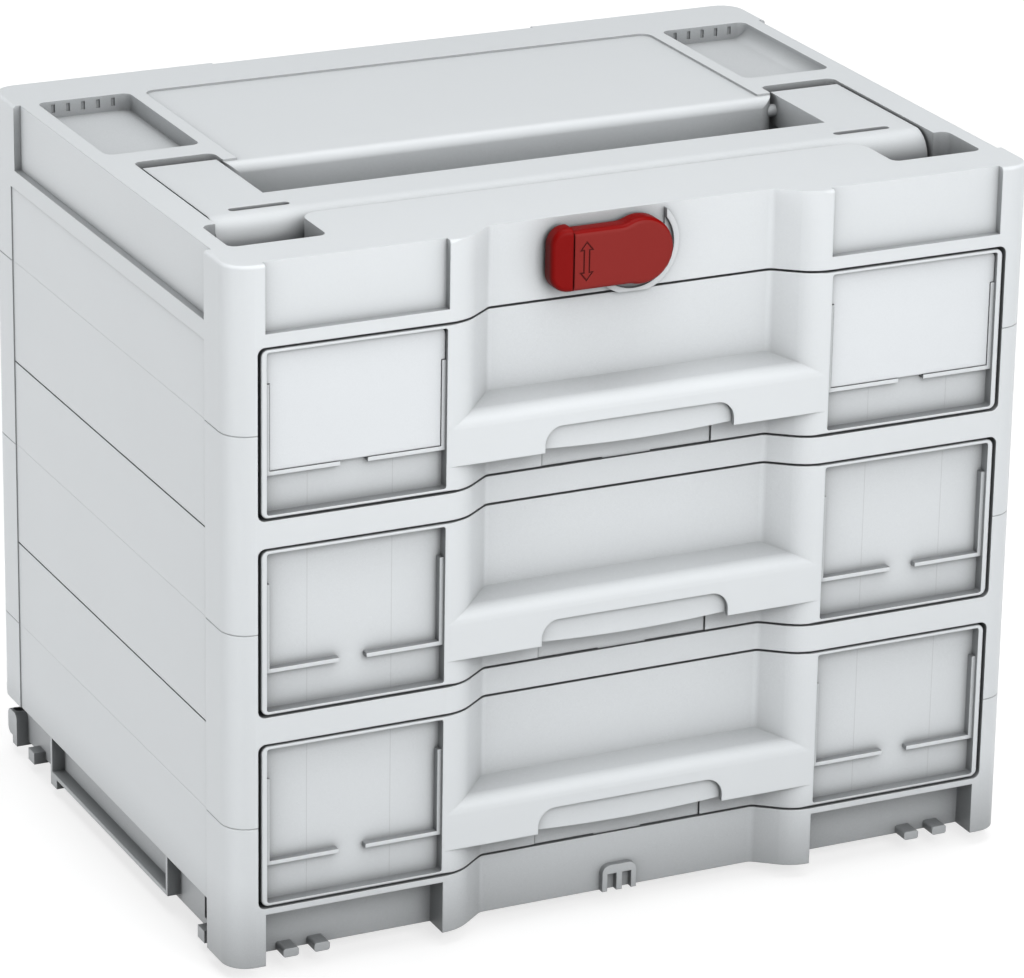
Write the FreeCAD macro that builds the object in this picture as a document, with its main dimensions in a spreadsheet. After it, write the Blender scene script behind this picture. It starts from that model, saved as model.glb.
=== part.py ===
import FreeCAD, Part
import os
import re

# Stackable tool case: four stacked housing shells, three drawers with release levers,
# a carry handle folded into the lid and a rotary latch at the front.
# +Z is up, the front faces -Y, and the origin is at the middle of the base, at foot level.

# Driving dimensions in millimetres: name, value, meaning.
SIZES = (
    # Housing
    ("case_width", 396.0, "overall width"),
    ("case_depth", 296.0, "overall depth"),
    ("corner_radius", 12.0, "plan radius of the four corner posts"),
    ("skin", 3.2, "wall of the moulded housing"),
    ("foot_height", 7.0, "stacking feet below the corner posts"),
    ("base_rise", 28.1, "post bottoms to the lowest drawer opening"),
    ("opening_height", 79.7, "height of a drawer opening"),
    ("rail_height", 12.7, "cross rail between two drawer openings"),
    ("lid_rise", 37.4, "top drawer opening to the lid's top"),
    ("post_width", 13.15, "post beside a drawer opening"),
    ("post_depth", 18.0, "front posts, front to back"),
    ("opening_radius", 3.5, "corner radius of a drawer opening"),
    ("shelf_drop", 3.2, "shelf below the edge of its opening"),
    ("shelf_wall", 2.8, "shelf and floor plates"),
    ("seam_chamfer", 0.35, "edge break at the joint of two shells"),
    ("lid_edge", 1.6, "rounding of the lid's outer edge"),
    ("recess_depth", 13.0, "hollow down the middle of the front"),
    ("recess_mouth", 172.8, "front hollow at the front plane, before rounding"),
    ("recess_run", 16.7, "sloping side of the front hollow, across the front"),
    ("recess_bend", 22.0, "outer bend of the front hollow"),
    ("recess_crease", 5.0, "inner bend of the front hollow"),
    ("rear_recess_depth", 3.4, "shallow hollow down the middle of the back"),
    ("rear_recess_width", 170.0, "width of the hollow in the back"),
    ("panel_post", 28.5, "corner post beside a side panel"),
    ("panel_inset", 0.6, "side panel below the posts"),
    ("panel_drop", 3.0, "side panel's top below the top opening's edge"),
    ("groove_width", 0.8, "line across the side panel"),
    ("groove_depth", 0.7, "depth of that line"),
    ("groove_rise", 2.3, "line above the opening's top edge"),
    ("runner_inset", 16.85, "runner rib's inner side from the opening's side"),
    ("runner_width", 8.0, "runner rib, width"),
    ("runner_rise", 0.9, "runner top above the opening's edge"),
    # Plinth, feet and catches under the base
    ("plinth_side", 8.0, "plinth set in from the sides and the back"),
    ("plinth_front", 13.6, "plinth set in from the front"),
    ("plinth_rise", 23.8, "post bottoms to the top of the set-in sides"),
    ("plinth_front_rise", 25.2, "post bottoms to the top of the set-in front"),
    ("plinth_wall", 3.5, "walls of the plinth"),
    ("foot_border", 16.0, "stacking feet from the sides"),
    ("foot_width", 34.0, "stacking feet, width"),
    ("front_foot_set", 35.0, "front feet from the front"),
    ("front_foot_length", 21.0, "front feet, front to back"),
    ("rear_foot_set", 39.0, "rear feet from the back"),
    ("rear_foot_length", 47.0, "rear feet, front to back"),
    ("prong_width", 7.6, "prongs on the plinth's front"),
    ("prong_depth", 9.0, "prongs, front to back"),
    ("prong_height", 4.2, "prongs, height"),
    ("prong_inset", 46.1, "inner prong's middle from the side"),
    ("prong_pitch", 15.1, "between two prongs"),
    ("prong_round", 1.2, "rounding of the prongs"),
    ("lug_width", 17.4, "catch lug under the front"),
    ("lug_height", 13.0, "catch lug, height"),
    ("lug_depth", 3.2, "catch lug, front to back"),
    ("lug_round", 4.0, "upper corners of the catch lug"),
    ("lug_web", 2.9, "web in the middle of the catch lug"),
    ("lug_slot", 4.7, "slots in the catch lug, width"),
    ("lug_roof", 4.4, "catch lug above its slots"),
    ("rail_frame_front", 80.0, "side rail under the housing, from the front"),
    ("rail_frame_back", 65.0, "side rail, from the back"),
    ("rail_frame_wall", 2.2, "side rail wall"),
    ("rail_frame_set", 1.6, "side rail set in from the side"),
    ("rail_frame_drop", 2.8, "side rail above the post bottoms"),
    ("corner_foot_length", 12.0, "rear corner foot, front to back"),
    ("corner_foot_low", 2.0, "rear corner foot above the post bottoms"),
    ("corner_foot_height", 13.0, "rear corner foot, height"),
    ("corner_foot_set", 2.0, "rear corner foot set in from the side"),
    ("corner_foot_lap", 1.2, "rear corner foot inside the plinth's wall"),
    ("corner_foot_back", 5.0, "rear corner foot set in from the back"),
    ("corner_foot_round", 3.5, "rounding of the rear corner foot"),
    ("peg_width", 8.0, "small pegs beside the posts"),
    ("peg_drop", 2.0, "small pegs below the post bottoms"),
    ("peg_height", 6.0, "small pegs, height"),
    ("side_slot", 14.0, "slot in the plinth's side wall, behind the front post"),
    ("side_slot_set", 8.0, "that slot from the post"),
    # Tie rods
    ("rod_radius", 2.0, "tie rod"),
    ("rod_clearance", 0.05, "tie rod in its hole"),
    ("rod_head", 3.5, "tie rod head radius"),
    ("rod_head_height", 3.0, "tie rod head"),
    ("rod_inset_x", 6.8, "tie rod from the side"),
    ("rod_front_inset", 8.5, "front tie rods from the front"),
    ("rod_rear_inset", 10.0, "rear tie rods from the back"),
    ("rod_head_cover", 2.8, "tie rod head above the plinth's top"),
    ("rod_boss", 6.2, "boss round a rear tie rod"),
    ("rod_cover", 8.0, "lid left above the tie rod's end"),
    # Lid
    ("lid_panel_land", 8.1, "front lid panels from the front hollow"),
    ("lid_panel_post", 16.8, "front lid panels from the sides"),
    ("lid_panel_rise", 6.0, "lid panels above the top opening"),
    ("lid_panel_depth", 3.8, "front lid panels below the posts"),
    ("lid_side_depth", 3.4, "side lid panels below the posts"),
    ("lid_side_post", 34.0, "side lid panels from the back"),
    ("lid_wall", 4.0, "lid wall behind the latch"),
    ("pocket_wall", 2.6, "walls round the lid's pockets"),
    ("pocket_radius", 4.0, "corner radius of the lid's pockets"),
    ("pocket_border", 11.8, "lid pockets from the sides"),
    ("rear_pocket_width", 45.9, "rear pockets, width"),
    ("rear_pocket_border", 33.6, "rear pockets from the back"),
    ("rear_pocket_depth", 8.0, "rear pockets, depth"),
    ("pocket_bend", 6.0, "hollow blend at the outer side of the rear pockets' floor"),
    ("pocket_bridge", 14.8, "bridge between the rear pockets and the arm pockets"),
    ("pocket_slot_width", 1.8, "slots in the rear pocket's back wall"),
    ("pocket_slot_height", 4.0, "slots in the rear pocket's back wall, height"),
    ("pocket_slot_drop", 1.6, "slots below the lid's top"),
    ("pocket_slot_pitch", 7.5, "slots in the rear pocket's back wall, pitch"),
    ("pocket_slot_depth", 0.9, "slots in the rear pocket's back wall, depth"),
    ("top_panel_rim", 7.3, "sunk panel from the rear pockets"),
    ("top_panel_border", 33.2, "sunk panel from the back"),
    ("top_panel_depth", 1.0, "sunk panel's depth"),
    ("top_panel_radius", 6.0, "sunk panel's corner radius"),
    ("trough_back", 142.4, "finger trough's back wall from the front"),
    ("trough_depth", 29.0, "finger trough's depth"),
    ("trough_lip", 5.0, "rounding of the trough's back edge"),
    ("trough_corner", 7.0, "plan rounding of the trough's back corners"),
    ("deck_depth", 60.6, "front deck, front to back"),
    ("deck_corner", 9.0, "plan rounding of the deck's rear corners"),
    ("front_pocket_border", 28.0, "front pockets from the front"),
    ("front_pocket_depth", 24.0, "front pockets and arm pockets, depth"),
    ("arm_pocket_run", 16.0, "arm pockets behind the trough's back wall"),
    # Carry handle
    ("handle_top", 0.7, "handle below the lid's top"),
    ("handle_gap", 1.6, "handle to its pocket"),
    ("handle_border", 20.3, "carry handle from the sides"),
    ("handle_arm", 35.9, "arm of the handle, width"),
    ("handle_end_gap", 8.0, "arms' back ends to the end of their pockets"),
    ("bar_depth", 34.2, "grip bar, front to back"),
    ("handle_thick", 15.0, "carry handle thickness"),
    ("bar_round", 12.0, "rounding of the grip bar's front"),
    ("handle_edge", 2.0, "rounding of the handle's lower edges"),
    ("handle_slot_length", 29.0, "slot in the handle"),
    ("handle_slot_width", 4.2, "slot in the handle, with round ends"),
    ("handle_slot_inset", 26.5, "middle of a handle slot from the handle's side"),
    ("handle_slot_set", 18.0, "middle of a handle slot behind the deck"),
    ("pivot_set", 4.0, "handle pivot behind the trough's back wall"),
    ("pivot_drop", 8.4, "handle pivot below the lid's top"),
    ("pivot_radius", 3.0, "handle pivot pin"),
    ("pivot_clearance", 0.05, "handle on its pin"),
    ("pivot_seat", 3.0, "pin's outer end in the lid"),
    ("pivot_inner_seat", 7.0, "pin's inner end in the lid"),
    # Drawers
    ("slide_gap", 0.3, "running gap between tray and runner"),
    ("side_gap", 1.6, "drawer front to the side of its opening"),
    ("edge_gap", 1.1, "drawer front to the rails above and below"),
    ("front_wall", 3.3, "wall of the drawer front"),
    ("front_edge", 0.8, "rounding of the drawer front's outer edge"),
    ("label_land", 8.8, "label pockets from the front hollow"),
    ("label_border", 4.25, "label pockets from the opening's side"),
    ("label_rim", 1.5, "rim above and below a label pocket"),
    ("label_depth", 5.3, "depth of a label pocket"),
    ("label_radius", 1.2, "corner radius of a label pocket"),
    ("rib_depth", 1.7, "label ribs below the drawer front's face"),
    ("rib_width", 1.9, "label rib"),
    ("rib_level", 19.2, "cross rib above the drawer front's lower edge"),
    ("rib_top", 61.1, "side rib's top above the drawer front's lower edge"),
    ("rib_outer_length", 35.3, "outer cross rib"),
    ("rib_inner_length", 37.0, "inner cross rib"),
    ("insert_wall", 3.2, "label insert, front to back"),
    ("insert_gap", 0.3, "label insert to the ribs and walls"),
    ("insert_radius", 3.0, "upper corners of the label insert"),
    ("pull_shelf", 39.5, "back of the pull's sloping top above the drawer front's lower edge"),
    ("pull_top", 33.3, "front of the pull's sloping top"),
    ("pull_bottom", 11.1, "lower edge of the pull"),
    ("pull_edge", 8.0, "rounding of the pull's top edge"),
    ("pull_wall", 2.2, "front wall of the pull"),
    ("pull_roof", 2.6, "sloping top of the pull"),
    ("pull_end", 11.4, "solid ends of the pull inside the front hollow"),
    ("notch_width", 94.0, "lever window in the pull"),
    ("notch_height", 12.0, "lever window above the pull's lower edge"),
    ("notch_radius", 8.5, "upper corners of the lever window"),
    ("tray_height", 68.0, "drawer tray"),
    ("tray_wall", 2.5, "drawer tray wall"),
    ("tray_side", 3.8, "tray side to the opening's side"),
    ("tray_flange", 2.6, "guide flange at the tray's foot"),
    ("tray_flange_height", 5.0, "guide flange height"),
    ("tray_back", 5.8, "tray's back to the inner back wall"),
    ("alcove_width", 124.0, "room for the lever in the tray's front"),
    ("alcove_depth", 12.0, "alcove, front to back"),
    ("alcove_height", 44.0, "alcove above the tray's underside"),
    ("front_screw", 1.6, "drawer front screw radius"),
    ("front_screw_head", 3.0, "drawer front screw head radius"),
    ("front_screw_head_height", 2.0, "drawer front screw head"),
    ("front_screw_length", 9.0, "drawer front screw shank"),
    ("front_screw_land", 33.6, "drawer front screws from the front hollow"),
    ("front_screw_low", 18.0, "lower screws above the drawer front's lower edge"),
    ("front_screw_high", 50.0, "upper screws above the drawer front's lower edge"),
    ("front_boss", 4.0, "screw boss behind the drawer front"),
    # Release levers
    ("lever_gap", 0.35, "lever behind the pull's wall"),
    ("lever_wall", 2.0, "lever plates"),
    ("lever_width", 108.0, "lever's grip plate"),
    ("lever_top", 26.0, "top of the lever's grip plate above the drawer front's lower edge"),
    ("lever_web", 20.6, "lever's web above the drawer front's lower edge"),
    ("lever_drop", 0.3, "lever's lower edge below the pull's"),
    ("lever_bow", 2.0, "bow of the lever's lower edge"),
    ("lever_skirt", 84.0, "lever's rear skirt"),
    ("skirt_gap", 0.5, "skirt to the sides of its opening"),
    ("skirt_set", 0.8, "skirt behind the face of the front hollow"),
    ("skirt_lift", 0.9, "skirt above the rail beside the hook"),
    ("hook_lift", 0.4, "hook's end above the rail"),
    ("hook_width", 24.0, "hook in the middle of the skirt"),
    ("lever_travel_room", 3.0, "room above the web for its travel"),
    ("hinge_level", 11.0, "lever hinge above the drawer front's lower edge"),
    ("hinge_set", 22.0, "lever hinge behind the front plane"),
    ("hinge_pin", 1.5, "lever hinge pin radius"),
    ("hinge_clearance", 0.05, "lever on its pin"),
    ("hinge_tube", 3.2, "lever's hinge tube radius"),
    ("hinge_boss", 6.0, "bearing block for the pin, along its axis"),
    ("spring_strip", 0.5, "thickness of the lever's bowed leaf spring"),
    ("spring_width", 5.0, "width of the leaf spring"),
    ("spring_gap", 0.05, "leaf spring to the faces it bears on"),
    ("spring_set", 9.5, "leaf spring's middle behind the front plane"),
    ("spring_seat", 3.5, "radius of the seat above the leaf spring"),
    # Rotary latch
    ("latch_level", 20.0, "latch axis above the top opening"),
    ("latch_radius", 15.5, "round end of the latch"),
    ("latch_reach", 44.2, "latch axis to the grip's end"),
    ("latch_arm_top", 13.1, "upper edge of the latch's arm above its axis"),
    ("latch_arm_low", 14.7, "lower edge of the latch's arm below its axis"),
    ("latch_thick", 8.6, "latch, front to back"),
    ("latch_edge", 2.6, "rounding of the latch's front edges"),
    ("latch_blend", 12.0, "hollow blend between the latch's arm and its round end"),
    ("grip_length", 9.5, "grip at the latch's end"),
    ("grip_top", 14.6, "upper end of the grip above the latch axis"),
    ("grip_low", 14.7, "lower end of the grip below the latch axis"),
    ("grip_step", 0.4, "latch arm set back from the grip"),
    ("grip_slope", 2.2, "fall of the grip's face towards its end"),
    ("grip_groove", 1.0, "groove between the grip and the latch's arm"),
    ("grip_groove_depth", 0.9, "depth of that groove"),
    ("grip_round", 8.0, "corners of the latch's end"),
    ("mark_set", 27.9, "turning mark beside the latch axis"),
    ("mark_drop", 1.0, "turning mark's middle below the latch axis"),
    ("mark_half", 8.8, "half the height of the turning mark"),
    ("mark_head", 3.6, "arrow head of the mark, height"),
    ("mark_head_width", 5.8, "arrow head of the mark, width"),
    ("mark_shaft", 2.6, "shaft of the mark, width"),
    ("mark_line", 0.6, "line of the engraved mark"),
    ("mark_depth", 0.4, "depth of the engraved mark"),
    ("collar_radius", 13.0, "bearing collar behind the latch"),
    ("collar_thick", 3.0, "collar and guard, front to back"),
    ("guard_radius", 22.0, "outside of the guard round the latch's end"),
    ("guard_inner", 19.4, "inside of that guard"),
    ("guard_floor", 0.8, "web between collar and guard"),
    ("guard_low", 20.8, "lower edge of the guard below the latch axis"),
    ("guard_end", 15.5, "upper end of the guard beside the latch axis"),
    ("guard_left", 13.5, "left end of the guard beside the latch axis"),
    ("latch_gap", 0.3, "latch to the collar"),
    ("latch_screw", 4.0, "latch pivot screw radius"),
    ("latch_screw_clearance", 0.05, "latch screw in its bearing"),
    ("latch_screw_head", 7.0, "latch pivot screw head radius"),
    ("latch_screw_head_height", 3.0, "latch pivot screw head"),
    ("latch_screw_bite", 5.5, "latch screw in the latch"),
    ("washer_radius", 7.5, "friction washer"),
    ("washer_thick", 1.0, "friction washer"),
)

DRAWERS = ("bottom", "middle", "top")

doc = FreeCAD.newDocument("stackable_tool_case")
sheet = doc.addObject("Spreadsheet::Sheet", "dim")
for row, (alias, value, meaning) in enumerate(SIZES, 1):
    sheet.set(f"A{row}", meaning)
    sheet.set(f"B{row}", str(value))
    sheet.setAlias(f"B{row}", alias)
doc.recompute()

ALIAS_WORD = re.compile(r"\b(" + "|".join(alias for alias, _, _ in SIZES) + r")\b")
nodes = {}


def formula(text):
    """An expression on the sheet: each size's name becomes a reference to its cell."""
    return ALIAS_WORD.sub(r"dim.\1", str(text))


def size(alias):
    """A size's number, read from the sheet."""
    return float(getattr(sheet, alias))


def bind(obj, **values):
    """Tie properties to the sheet; a double underscore stands for a dot in a property's path."""
    for path, text in values.items():
        obj.setExpression(path.replace("__", "."), formula(text))
    return obj


def place(obj, x, y, z):
    """Tie an object's position to the sheet."""
    return bind(obj, Placement__Base__x=x, Placement__Base__y=y, Placement__Base__z=z)


def span(pair):
    """Length of an interval given as two expressions."""
    return f"({pair[1]}) - ({pair[0]})"


def minus(pair):
    """The mirror image of an interval."""
    return (f"-({pair[1]})", f"-({pair[0]})")


def about_zero(width):
    """The interval of a width centred on the middle plane."""
    return (f"-({width}) / 2", f"({width}) / 2")


def about(middle, width):
    """The interval of a width centred on a point."""
    return (f"{middle} - {width} / 2", f"{middle} + {width} / 2")


def box(name, x, y, z):
    """A block between two expressions on each axis."""
    block = doc.addObject("Part::Box", name)
    bind(block, Length=span(x), Width=span(y), Height=span(z))
    return place(block, x[0], y[0], z[0])


def both_sides(name, x, y, z):
    """The same block on the right and, mirrored, on the left."""
    return [box(name + "_right", x, y, z), box(name + "_left", minus(x), y, z)]


def cylinder(name, axis, x, y, z, radius):
    """A cylinder along one axis: an interval on that axis, single expressions on the others."""
    rod = doc.addObject("Part::Cylinder", name)
    turn = {
        "x": (FreeCAD.Vector(0, 1, 0), 90),
        "y": (FreeCAD.Vector(1, 0, 0), -90),
        "z": (FreeCAD.Vector(0, 0, 1), 0),
    }
    rod.Placement = FreeCAD.Placement(FreeCAD.Vector(), FreeCAD.Rotation(*turn[axis]))
    along = {"x": x, "y": y, "z": z}[axis]
    bind(rod, Radius=radius, Height=span(along))
    return place(rod, *(end[0] if isinstance(end, tuple) else end for end in (x, y, z)))


def fuse(name, *pieces):
    """One solid of several."""
    whole = doc.addObject("Part::MultiFuse", name)
    whole.Shapes = list(pieces)
    whole.Refine = True
    return whole


def cut(name, base, *tools):
    """A solid with the tools taken out of it."""
    rest = doc.addObject("Part::Cut", name)
    rest.Base = base
    rest.Tool = tools[0] if len(tools) == 1 else fuse(name + "_tools", *tools)
    rest.Refine = True
    return rest


def common(name, first, second):
    """What two solids share."""
    shared = doc.addObject("Part::Common", name)
    shared.Base = first
    shared.Tool = second
    shared.Refine = True
    return shared


def group(name, solids):
    """Several like pieces as one."""
    several = doc.addObject("Part::Compound", name)
    several.Links = solids
    return several


def edges_where(base, wanted):
    """Numbers of the edges that a test picks."""
    doc.recompute()
    picked = [number for number, edge in enumerate(base.Shape.Edges, 1) if wanted(edge)]
    if not picked:
        raise RuntimeError("no edge picked on " + base.Name)
    return picked


def fillet(name, base, radius, wanted):
    """Round the picked edges; radius is the name of a size."""
    rounded = doc.addObject("Part::Fillet", name)
    rounded.Base = base
    rounded.Edges = [(number, size(radius), size(radius)) for number in edges_where(base, wanted)]
    return rounded


def chamfer(name, base, width, wanted):
    """Break the picked edges; width is the name of a size."""
    broken = doc.addObject("Part::Chamfer", name)
    broken.Base = base
    broken.Edges = [(number, size(width), size(width)) for number in edges_where(base, wanted)]
    return broken


def runs_along(axis):
    """A test for straight edges along one axis."""
    place_of = {"x": 0, "y": 1, "z": 2}[axis]

    def wanted(edge):
        if edge.Curve.TypeId != "Part::GeomLine":
            return False
        way = edge.tangentAt(edge.FirstParameter)
        return abs(way[place_of]) > 0.999
    return wanted


def lies_at(x=None, y=None, z=None, either_side=False):
    """A test for edges that lie in the given planes; either_side takes x on both sides."""
    def wanted(edge):
        middle = edge.valueAt((edge.FirstParameter + edge.LastParameter) / 2)
        points = [vertex.Point for vertex in edge.Vertexes] + [middle]
        for axis, level in enumerate((x, y, z)):
            if level is None:
                continue
            for point in points:
                here = abs(point[axis]) if either_side and axis == 0 else point[axis]
                if abs(here - level) > 0.02:
                    return False
        return True
    return wanted


def all_of(*tests):
    """A test that passes where every given test does."""
    return lambda edge: all(test(edge) for test in tests)


def at_front(base):
    """A test for edges in the foremost plane of a solid."""
    doc.recompute()
    return lies_at(y=base.Shape.BoundBox.YMin)


def rounded_box(name, x, y, z, radius, axis="z"):
    """A block with its four edges along one axis rounded."""
    return fillet(name, box(name + "_block", x, y, z), radius, runs_along(axis))


def corner_rounder(name, x, y, z, radius, turn_x, turn_y):
    """What rounding an upright corner takes away; turn_x and turn_y point from the corner into the solid."""
    middle_x = f"({x} {turn_x} {radius})"
    middle_y = f"({y} {turn_y} {radius})"
    x_ends = (middle_x, f"{x} + 1") if turn_x == "-" else (f"{x} - 1", middle_x)
    y_ends = (middle_y, f"{y} + 1") if turn_y == "-" else (f"{y} - 1", middle_y)
    block = box(name + "_block", x_ends, y_ends, z)
    return cut(name, block, cylinder(name + "_disc", "z", middle_x, middle_y, z, radius))


def keep(label, solid):
    """Name a finished sub-part; the label is its file's name."""
    solid.Label = label
    nodes[label] = solid
    return solid


# Levels and planes that several pieces share
FRONT = "(-case_depth / 2)"
BACK = "(case_depth / 2)"
SIDE = "(case_width / 2)"
SIDES = (("right", ""), ("left", "-"))
HALF_OPENING = f"({SIDE} - post_width)"
PANEL_END = f"({BACK} - panel_post)"
RECESS_FACE = f"({FRONT} + recess_depth)"
RECESS_EDGE = "(recess_mouth / 2)"
PITCH = "(opening_height + rail_height)"
CAVITY_FRONT = f"({FRONT} + post_depth)"
CAVITY_BACK = f"({BACK} - rear_recess_depth - skin)"
CAVITY_SIDE = f"({SIDE} - skin)"
PLINTH_TOP = "(foot_height + plinth_rise)"
PLINTH_FRONT = f"({FRONT} + plinth_front)"
PLINTH_SIDE = f"({SIDE} - plinth_side)"
LID_PANEL_X = (f"({RECESS_EDGE} + lid_panel_land)", f"({SIDE} - lid_panel_post)")
LABEL_X = (f"({RECESS_EDGE} + label_land)", f"({HALF_OPENING} - label_border)")
ROD_X = f"({SIDE} - rod_inset_x)"
ROD_FRONT = f"({FRONT} + rod_front_inset)"
ROD_REAR = f"({BACK} - rod_rear_inset)"
DECK_BACK = f"({FRONT} + deck_depth)"
TROUGH_BACK = f"({FRONT} + trough_back)"
ARM_POCKET_BACK = f"({TROUGH_BACK} + arm_pocket_run)"
REAR_POCKET_X = (f"({SIDE} - pocket_border - rear_pocket_width)", f"({SIDE} - pocket_border)")
REAR_POCKET_Y = (f"({ARM_POCKET_BACK} + pocket_bridge)", f"({BACK} - rear_pocket_border)")
HANDLE_OUTER = f"({SIDE} - handle_border)"
HANDLE_INNER = f"({HANDLE_OUTER} - handle_arm)"
ARM_POCKET_X = (f"({HANDLE_INNER} - handle_gap)", f"({HANDLE_OUTER} + handle_gap)")
PIVOT_X = (f"({ARM_POCKET_X[0]} - pivot_inner_seat)", f"({ARM_POCKET_X[1]} + pivot_seat)")
PIVOT_Y = f"({TROUGH_BACK} + pivot_set)"
SCREW_X = f"({RECESS_EDGE} + front_screw_land)"
SCREW_ROWS = (("low", "front_screw_low"), ("high", "front_screw_high"))


def opening_bottom(level):
    """Lower edge of a drawer opening; level 0 is the lowest drawer."""
    return f"(foot_height + base_rise + {level} * {PITCH})"


def opening_top(level):
    """Upper edge of a drawer opening."""
    return f"({opening_bottom(level)} + opening_height)"


def seam(level):
    """Joint of two housing shells, at the middle of a drawer opening."""
    return f"({opening_bottom(level)} + opening_height / 2)"


def plate_top(level):
    """Top of the shelf or floor under a drawer."""
    return f"({opening_bottom(level)} - shelf_drop)"


def plate_bottom(level):
    """Underside of the shelf or floor under a drawer."""
    return f"({plate_top(level)} - shelf_wall)"


LID_INSIDE = opening_top(2)
LID_TOP = f"({opening_top(2)} + lid_rise)"
LATCH_Z = f"({opening_top(2)} + latch_level)"
PIVOT_Z = f"({LID_TOP} - pivot_drop)"
ROD_SEAT = f"({PLINTH_TOP} + rod_head_height + rod_head_cover)"
ROD_END = f"({LID_TOP} - rod_cover)"
FULL_HEIGHT = ("-20", f"{LID_TOP} + 20")


def front_recess():
    """The hollow down the middle of the front, as the solid that is taken out of every piece there."""
    hollow = doc.addObject("Part::Wedge", "recess_wedge")
    flat = f"({RECESS_EDGE} - recess_run)"
    bind(hollow, Ymin=FRONT, Ymax=RECESS_FACE, Zmin=FULL_HEIGHT[0], Z2min=FULL_HEIGHT[0])
    bind(hollow, Zmax=FULL_HEIGHT[1], Z2max=FULL_HEIGHT[1])
    bind(hollow, Xmin=f"-{RECESS_EDGE}", Xmax=RECESS_EDGE, X2min=f"-{flat}", X2max=flat)
    ahead_x = about_zero("recess_mouth + 4 * recess_bend")
    ahead = box("recess_ahead", ahead_x, (f"{FRONT} - 30", FRONT), FULL_HEIGHT)
    sharp = fuse("recess_sharp", hollow, ahead)
    upright = runs_along("z")
    edge_x = size("recess_mouth") / 2
    edge_y = -size("case_depth") / 2
    bent = fillet("recess_bent", sharp, "recess_bend", all_of(upright, lies_at(edge_x, edge_y, None, True)))
    crease_x = edge_x - size("recess_run")
    crease_y = edge_y + size("recess_depth")
    crease = all_of(upright, lies_at(crease_x, crease_y, None, True))
    return fillet("front_recess", bent, "recess_crease", crease)


def side_marks():
    """Side panels and the lines across them, as the solids that are taken out of the shells."""
    y = (f"-{PANEL_END}", PANEL_END)
    panel_z = (PLINTH_TOP, f"{opening_top(2)} - panel_drop")
    marks = both_sides("side_panel", (f"{SIDE} - panel_inset", f"{SIDE} + 1"), y, panel_z)
    for level in (0, 1):
        line = f"({opening_top(level)} + groove_rise)"
        x = (f"{SIDE} - panel_inset - groove_depth", f"{SIDE} + 1")
        marks += both_sides(f"side_line_{level}", x, y, about(line, "groove_width"))
    return fuse("side_marks", *marks)


def rod_holes(name):
    """Four tie rod holes with room for the heads below the floor."""
    holes = []
    for side, sign in SIDES:
        for end, y in (("front", ROD_FRONT), ("rear", ROD_REAR)):
            x = f"{sign}{ROD_X}"
            shank = cylinder(f"{name}_{side}_{end}", "z", x, y, ("0", ROD_END), "rod_radius + rod_clearance")
            holes.append(shank)
            room = f"{name}_head_{side}_{end}"
            holes.append(cylinder(room, "z", x, y, ("0", ROD_SEAT), "rod_head + rod_clearance"))
    return fuse(name, *holes)


RECESS = front_recess()
SIDE_MARKS = side_marks()
REAR_RECESS_Y = (f"{BACK} - rear_recess_depth", f"{BACK} + 1")
REAR_RECESS = box("rear_recess", about_zero("rear_recess_width"), REAR_RECESS_Y, FULL_HEIGHT)
ROD_HOLES = rod_holes("rod_holes")
OUTSIDE = rounded_box("outside", (f"-{SIDE}", SIDE), (FRONT, BACK), FULL_HEIGHT, "corner_radius")


def outer_shell(name, z, broken):
    """The outside of one housing shell; broken names the ends whose edges meet another shell."""
    block = rounded_box(name + "_outer", (f"-{SIDE}", SIDE), (FRONT, BACK), z, "corner_radius")
    doc.recompute()
    ends = {"low": block.Shape.BoundBox.ZMin, "high": block.Shape.BoundBox.ZMax}
    levels = [ends[end] for end in broken]
    at_seam = lambda edge: any(lies_at(z=level)(edge) for level in levels)
    return chamfer(name + "_seams", block, "seam_chamfer", at_seam)


def bay(name, level, room_z):
    """One drawer's opening in the front, with rounded corners, and a stretch of the room behind it."""
    mouth_x = (f"-{HALF_OPENING}", HALF_OPENING)
    mouth_y = (f"{FRONT} - 1", f"{CAVITY_FRONT} + 1")
    mouth_z = (opening_bottom(level), opening_top(level))
    mouth = rounded_box(name + "_mouth", mouth_x, mouth_y, mouth_z, "opening_radius", "y")
    room = box(name + "_room", (f"-{CAVITY_SIDE}", CAVITY_SIDE), (CAVITY_FRONT, CAVITY_BACK), room_z)
    return [mouth, room]


def runners(name, level):
    """Two ribs on a shelf or floor that carry a drawer."""
    inner = f"({HALF_OPENING} - runner_inset)"
    z = (f"{plate_top(level)} - shelf_wall / 2", f"{opening_bottom(level)} + runner_rise")
    y = (f"{CAVITY_FRONT} - 1", f"{CAVITY_BACK} + 1")
    return both_sides(name, (inner, f"{inner} + runner_width"), y, z)


def rear_bosses(name, z):
    """Bosses in the rear corners that take the tie rods, run into the walls beside them."""
    bosses = []
    for side, sign in SIDES:
        bosses.append(cylinder(f"{name}_{side}", "z", f"{sign}{ROD_X}", ROD_REAR, z, "rod_boss"))
    x = (ROD_X, f"{SIDE} - skin / 2")
    y = (f"{ROD_REAR} - rod_boss", f"{ROD_REAR} + rod_boss")
    bosses += both_sides(name + "_side_web", x, y, z)
    x = (f"{ROD_X} - rod_boss", f"{ROD_X} + rod_boss")
    y = (ROD_REAR, f"{BACK} - rear_recess_depth - skin / 2")
    bosses += both_sides(name + "_back_web", x, y, z)
    return common(name + "_set", fuse(name + "_all", *bosses), OUTSIDE)


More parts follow.
